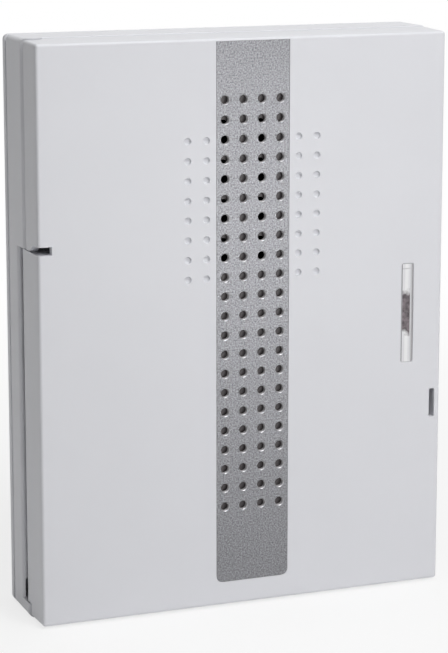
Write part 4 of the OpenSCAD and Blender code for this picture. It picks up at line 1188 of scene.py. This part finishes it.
def fluted_knob():
    """Volume knob: r = R - 0.32 (0.5 + 0.5 cos 18a)^3 down its side, a foot, a round top and a slot."""
    room = Room("volume_knob")
    x, y, top = *room.mid[:2], room.high[2]
    low = room.low[2]
    foot = top - 6.0
    profile = eased([[4.2, foot], [4.5, foot + 0.2], [4.5, foot + 1.0], [4.35, foot + 1.2], [4.25, top - 0.6],
                     [3.7, top]], 0.2)
    angle = np.arange(216) * TURN / 216
    flute = 0.32 * (0.5 + 0.5 * np.cos(18 * angle)) ** 3
    height = profile[:, 1:]
    depth = np.clip((height - foot - 0.9) / 0.5, 0, 1) * np.clip((top + 0.1 - height) / 0.5, 0, 1)
    radius = profile[:, :1] - depth * flute
    grid = np.stack([radius * np.cos(angle) + x, radius * np.sin(angle) + y, height + 0 * radius], -1)
    knob = solid("fluted_knob", skin(grid))
    shaft = [[0, low], [1.3, low], [1.5, low + 0.2], [1.5, foot + 0.5], [0, foot + 0.5]]
    join(knob, turned(shaft, (x, y, 0), 32))
    cut(knob, box((x - 6, y - 0.4, top - 1), (x + 1.8, y + 0.4, top + 1)))
    return cut(knob, turned([[0, -0.25], [2.6, -0.25], [2.9, 1], [0, 1]], (x, y, top), 40))


def switch_body():
    """Tune switch: a moulded body with the slider's slot and a shallow step round it."""
    room = Room("tune_switch")
    x, y, _ = room.mid
    high = room.high[2]
    body = solid("switch_body", rounded_block(room.low, room.high, 0.3))
    cut(body, rounded_block(*about(x, y, 5.2, 2.6, high - 0.3, high + 2), 0.2))
    return cut(body, box(*about(x, y, 3.8, 1.8, room.low[2] + 1, high + 1)))


def switch_slider():
    """Tune slider: a rounded tab with three grip grooves across its tip."""
    room = Room("tune_slider")
    x, y, _ = room.mid
    tab = solid("switch_slider", rounded_block(room.low, room.high, 0.3))
    return cut(tab, *[turned(peg(0.22, -3, 3), (x + step, y, room.high[2] + 0.04), 12, axis=1)
                      for step in (-0.8, 0, 0.8)])


# Loudspeaker

def speaker_ring(name, section):
    """Ring turned from a closed section about the loudspeaker's axis."""
    return solid(name, turned(section, speaker_at, 96, closed=True))


def speaker_basket():
    """Pressed basket: a bowl with four windows, a flat flange, three screw ears and two solder tags."""
    low = flange - 9.0
    bowl = low + 4.5
    inside = low + SHEET_T
    face = speaker_face
    section = [[8.2, low], [18, low], [26, bowl], [26, flange], [28.5, flange], [28.5, face], [25.1, face],
               [25.1, bowl], [18, inside], [8.2, inside]]
    basket = speaker_ring("speaker_basket", eased(section, 0.35, closed=True))
    ear = [[0, flange], [3.4, flange], [3.5, flange + 0.1], [3.5, face - 0.1], [3.4, face], [0, face]]
    tags = [box(*about(speaker_x + x, speaker_y - 30.25, 1, 2.25, flange, flange + 0.45))
            for x in (-TAG_X, TAG_X)]
    join(basket, *turned_at(speaker_ears, 0, ear, 40), *tags)
    windows = []
    for turn in np.radians([45, 135, 225, 315]):
        spin = [[math.cos(turn), math.sin(turn)], [-math.sin(turn), math.cos(turn)]]
        outline = np.array([[19, -6], [60, -6], [60, 6], [19, 6]]) @ spin + speaker_at[:2]
        windows.append(prism(eased(outline, 1.2, closed=True), inside, inside + 6.3))
    cut(basket, *windows)
    return cut(basket, *turned_at(speaker_ears, 0, peg(SCREW_BORE, 0, BEYOND)))


def paper_cone():
    """Paper cone: a straight flank with three rings pressed in, the dips of 0.2 sin over its outer part."""
    reach = np.linspace(7.2, 23.4, 70)
    thick = 0.6
    low, high = cone.low[2], cone.high[2] - thick
    flank = low + (high - low) * (reach - 7.2) / 16.2
    rings = 0.2 * np.sin((reach - 13.0) / 3.1 * TURN) * (reach > 13.0) * (reach < 22.3)
    back = np.column_stack([reach, flank + np.minimum(rings, 0)])
    return speaker_ring("paper_cone", np.vstack([back + (0, thick), back[::-1]]))


def cloth_cap():
    """Dust cap: a thin dome with a small turned-out foot."""
    outside, inside = 12.0, 11.5
    turn = np.linspace(math.asin(9.0 / outside), 0, 20)
    dome = np.column_stack([np.sin(turn), np.cos(turn)])
    drop = Room("dust_cap").high[2] - outside
    outer = outside * dome + (0, drop)
    inner = (inside * dome + (0, drop))[::-1]
    rim = outer[0, 1]
    inner = inner[inner[:, 1] > rim + 0.02]
    foot = [[math.sqrt(inside ** 2 - (rim - drop) ** 2), rim]]
    return solid("cloth_cap", turned(np.vstack([inner, foot, outer]), speaker_at, 64))


def rubber_roll():
    """Surround: a half roll, 1.9 outside and 1.4 inside, with thin lips and a skirt round the cone."""
    lips_in = [[-2.4, 0.25], [-2.4, 0], [-2.05, 0], [-2.05, -3.4], [-1.75, -3.4], [-1.75, 0], [-1.4, 0]]
    lips_out = [[1.4, 0], [2.3, 0], [2.3, 0.25]]
    roll = np.vstack([arc((0, 0), 1.9, 8, 172, 18), lips_in, arc((0, 0), 1.4, 172, 8, 18), lips_out])
    return speaker_ring("rubber_roll", roll + (25.6, speaker_face))


def magnet_ring():
    """Ferrite ring with ground, eased edges."""
    room = Room("speaker_magnet")
    low, high = room.low[2], room.high[2]
    section = [[9.2, low], [20, low], [20, high], [9.2, high]]
    return speaker_ring("magnet_ring", eased(section, 0.7, closed=True))


# Cells and leads

def battery_cells():
    """Round cells: a jacket crimped at both ends, a dished foot, and a raised pole with a shoulder."""
    half = cells.half[0]
    foot = [[0, 0.3], [5.2, 0.3], [5.6, 0], [6.5, 0], [CELL_R, 0.5], [CELL_R, 1.3], [6.98, 1.5],
            [CELL_R, 1.7]]
    pole = [[CELL_R, -2.4], [6.95, -2.2], [CELL_R, -2.0], [CELL_R, -1.5], [6.6, -1.0], [5.6, -1.0],
            [5.2, -1.25], [3.4, -1.2], [2.9, -0.9], [2.7, -0.2], [2.4, 0], [0, 0]]
    profile = eased(np.vstack([np.array(foot) - (0, half), np.array(pole) + (0, half)]), 0.25)
    return solid("battery_cells", *[turned(profile * (1, side), (cells.mid[0], y, cells.mid[2]), 56, axis=0)
                                    for y, side in zip(cell_y, CELL_SIDES)])


def lead(name, route):
    """One insulated lead with smooth bends."""
    return solid(name, tube(eased(route, LEAD_BEND, steps=9), LEAD_R))


# Dressing every piece
white = case_plastic()
steel = metal("steel_zinc", (0.55, 0.55, 0.56), 0.32)
tin = metal("tin_plate", (0.72, 0.72, 0.71), 0.3)
solder = metal("solder_tin", (0.6, 0.6, 0.61), 0.28, grain=0.5, depth=0.02)
black = moulding("black_moulding", (0.018, 0.018, 0.019), 0.45)
ivory = moulding("white_moulding", (0.72, 0.72, 0.69), 0.38)
track_mask = moulding("track_mask", (0.03, 0.16, 0.06), 0.28)
board_ink = moulding("board_ink", (0.6, 0.6, 0.56), 0.5)
block_grey = moulding("block_moulding", (0.16, 0.175, 0.18), 0.42)
lamp_resin = moulding("lamp_resin", (0.5, 0.025, 0.015), 0.12, depth=0.001, Coat_Weight=1.0)
trimmer_blue = moulding("trimmer_moulding", (0.025, 0.09, 0.33), 0.4)
basket_paint = moulding("basket_paint", (0.035, 0.035, 0.037), 0.42, grain=0.6, depth=0.02)
ferrite = moulding("ferrite_grey", (0.05, 0.05, 0.053), 0.6, grain=0.5, depth=0.03)
roll_rubber = moulding("roll_rubber", (0.014, 0.014, 0.014), 0.55, depth=0.01)
red_sleeve = moulding("red_sleeve", (0.42, 0.018, 0.015), 0.42)
black_sleeve = moulding("black_sleeve", (0.02, 0.02, 0.02), 0.42)

dressed(cover_shell(), white, "cover", "white_case", "front_cover")
dressed(pierced_strip(), silver_paint(), "cover", "silver_strip", "grille_strip")
dressed(window_guide(), clear_plastic(), "cover", "clear_guide", "light_guide")
dressed(hinge_pin_rods(), steel, "cover", "steel", "hinge_pins")
dressed(base_tray(), white, "base", "white_case", "rear_base")
dressed(latch_arm(), white, "latch", "white_case", "latch_lever", ease=0.12)

dressed(board_sheet(), board_mask(), "base", "board", "circuit_board")
dressed(board_tracks(), track_mask, "base", "board")
dressed(board_print(), board_ink, "base", "board")
dressed(solder_joints(), solder, "base", "tin")
dressed(pan_screws("board_pan_screws", board_screws, board_face, 5.2), steel, "base", "steel", "board_screws")
dressed(terminal_housing(), block_grey, "base", "grey_block", "terminal_block")
dressed(terminal_clamps(), steel, "base", "steel", "terminal_screws")
dressed(chip_body(), black, "base", "black_mould", "sound_chip")
dressed(chip_pins(), tin, "base", "tin", "chip_legs")
dressed(can_sleeves(), sleeve_film(), "base", "can_sleeve", "capacitors")
dressed(can_lids(), tin, "base", "tin")
dressed(rectifier_block(), black, "base", "black_mould", "rectifier", ease=0.25)
dressed(resistor_bodies(), resistor_lacquer(), "base", "resistor", "resistors")
dressed(resistor_wires(), tin, "base", "tin")
dressed(lamp_bulb(), lamp_resin, "base", "red_lamp", "signal_lamp")
dressed(trimmer_body(), trimmer_blue, "base", "blue_mould", "volume_pot")
dressed(fluted_knob(), ivory, "knob", "white_knob", "volume_knob")
dressed(switch_body(), black, "base", "black_mould", "tune_switch")
dressed(switch_slider(), ivory, "slider", "white_knob", "tune_slider")

dressed(speaker_basket(), basket_paint, "base", "basket", "speaker_frame")
dressed(magnet_ring(), ferrite, "base", "ferrite", "speaker_magnet")
dressed(paper_cone(), cone_pulp(), "cone", "cone_paper", "speaker_cone")
dressed(cloth_cap(), cap_cloth(), "cone", "cap_cloth", "dust_cap")
dressed(rubber_roll(), roll_rubber, "base", "surround_rubber", "cone_surround")
dressed(pan_screws("speaker_pan_screws", speaker_ears, speaker_face, 8.0), steel, "base", "steel",
        "speaker_screws")

dressed(battery_cells(), cell_film(), "base", "cell_jacket", "round_cells")
for kind, (red_route, black_route) in LEADS.items():
    dressed(lead(f"{kind}_lead_a", red_route), red_sleeve, "base", "lead_sleeve", f"{kind}_leads")
    dressed(lead(f"{kind}_lead_b", black_route), black_sleeve, "base", "lead_sleeve")

# Pieces that keep their CAD shape
for node, finish in {"pole_plate": steel, "front_pole_plate": steel, "contact_plates": tin,
                     "voice_coil": wound_copper()}.items():
    slots = frame["nodes"][node].data.materials
    slots.clear()
    slots.append(finish)


# Floor, light and camera

BRIGHT = (1, 1, 1)
FLOOR_SIZE = 30.0


def plain_rays(tree):
    """1 for camera, mirror and glass rays, which see plain white, and 0 for the rays that light the case."""
    path = tree.nodes.new("ShaderNodeLightPath").outputs
    kinds = ("Camera", "Glossy", "Transmission")
    seen, mirror, glass = [Wire(tree, path[f"Is {kind} Ray"]) for kind in kinds]
    return seen.sum("MINIMUM", seen + mirror + glass, 1.0)


def turned_to(made, ahead):
    """Turns a lamp or the camera to look ahead."""
    made.rotation_euler = ahead.to_track_quat("-Z", "Y").to_euler()


def floor():
    """Pale floor under the case: white to the camera far out, shaded near the case to keep its shadow."""
    mesh = bpy.data.meshes.new("floor")
    corners = np.insert(CORNERS * FLOOR_SIZE, 2, cad_box[0].z, axis=1)
    mesh.from_pydata(corners.tolist(), [], [(0, 1, 2, 3)])
    finish = Finish("pale_floor", (0.88, 0.88, 0.88), 0.9)
    away = finish.node("ShaderNodeVectorMath", {"operation": "LENGTH"}, {0: finish}, out=1)
    fade = finish.sum("MINIMUM", 0.68 + 0.6 * away, 1.0)
    glow = finish.node("ShaderNodeEmission", {}, {"Color": BRIGHT, "Strength": 1.0})
    shaded = Wire(finish.tree, finish.shader.outputs[0])
    both = finish.node("ShaderNodeMixShader", {}, {0: plain_rays(finish.tree) * fade, 1: shaded, 2: glow})
    finish.feed(finish.tree.nodes["Material Output"].inputs["Surface"], both)
    mesh.materials.append(finish.material)
    shown("floor", mesh)


def lamp(name, place, aim, power, size):
    """Soft area lamp at a place, turned to its aim."""
    light = bpy.data.lights.new(name, "AREA")
    light.energy = power
    light.size = size
    made = shown(name, light)
    made.location = place
    turned_to(made, Vector(aim) - Vector(place))


def sky(strength):
    """Even pale light; camera, mirror and glass rays see plain white."""
    world = bpy.data.worlds.new("sky")
    world.use_nodes = True
    bpy.context.scene.world = world
    plain = plain_rays(world.node_tree)
    dim, full = [plain.node("ShaderNodeBackground", {}, {"Color": BRIGHT, "Strength": level})
                 for level in (strength, 1.0)]
    both = plain.node("ShaderNodeMixShader", {}, {0: plain, 1: dim, 2: full})
    both.feed(world.node_tree.nodes["World Output"].inputs["Surface"], both)


def camera():
    """Camera to the left of the case and above it, turned by yaw and pitch."""
    yaw = math.radians(21.3)
    pitch = math.radians(-10.34)
    lens = bpy.data.cameras.new("camera")
    lens.lens = 124.4
    lens.sensor_width = 36.0
    lens.shift_y = -0.1
    lens.clip_start = 0.01
    made = shown("camera", lens)
    made.location = (-0.2514, -0.6575, 0.1431)
    level = math.cos(pitch)
    turned_to(made, Vector((math.sin(yaw) * level, math.cos(yaw) * level, math.sin(pitch))))
    bpy.context.scene.camera = made


floor()
sky(0.09)
lamp("key", (0.1, -0.6, 0.8), (0, 0, 0), 2.62, 0.5)
lamp("near", (0.15, -0.4, 0.5), (0, 0, 0.02), 1.3, 0.3)
lamp("top", (0, -0.1, 0.9), (0, 0, 0), 2.1, 0.6)
lamp("low", (0.2, -0.55, -0.04), (0, 0, 0.02), 0.4, 0.06)
lamp("back", (0.25, 0.7, 0.0), (0, 0, 0), 1.6, 0.15)
lamp("side", (-0.35, -0.12, -0.06), (-0.066, -0.02, -0.06), 0.035, 0.1)
camera()
bpy.context.scene.view_settings.view_transform = "Standard"
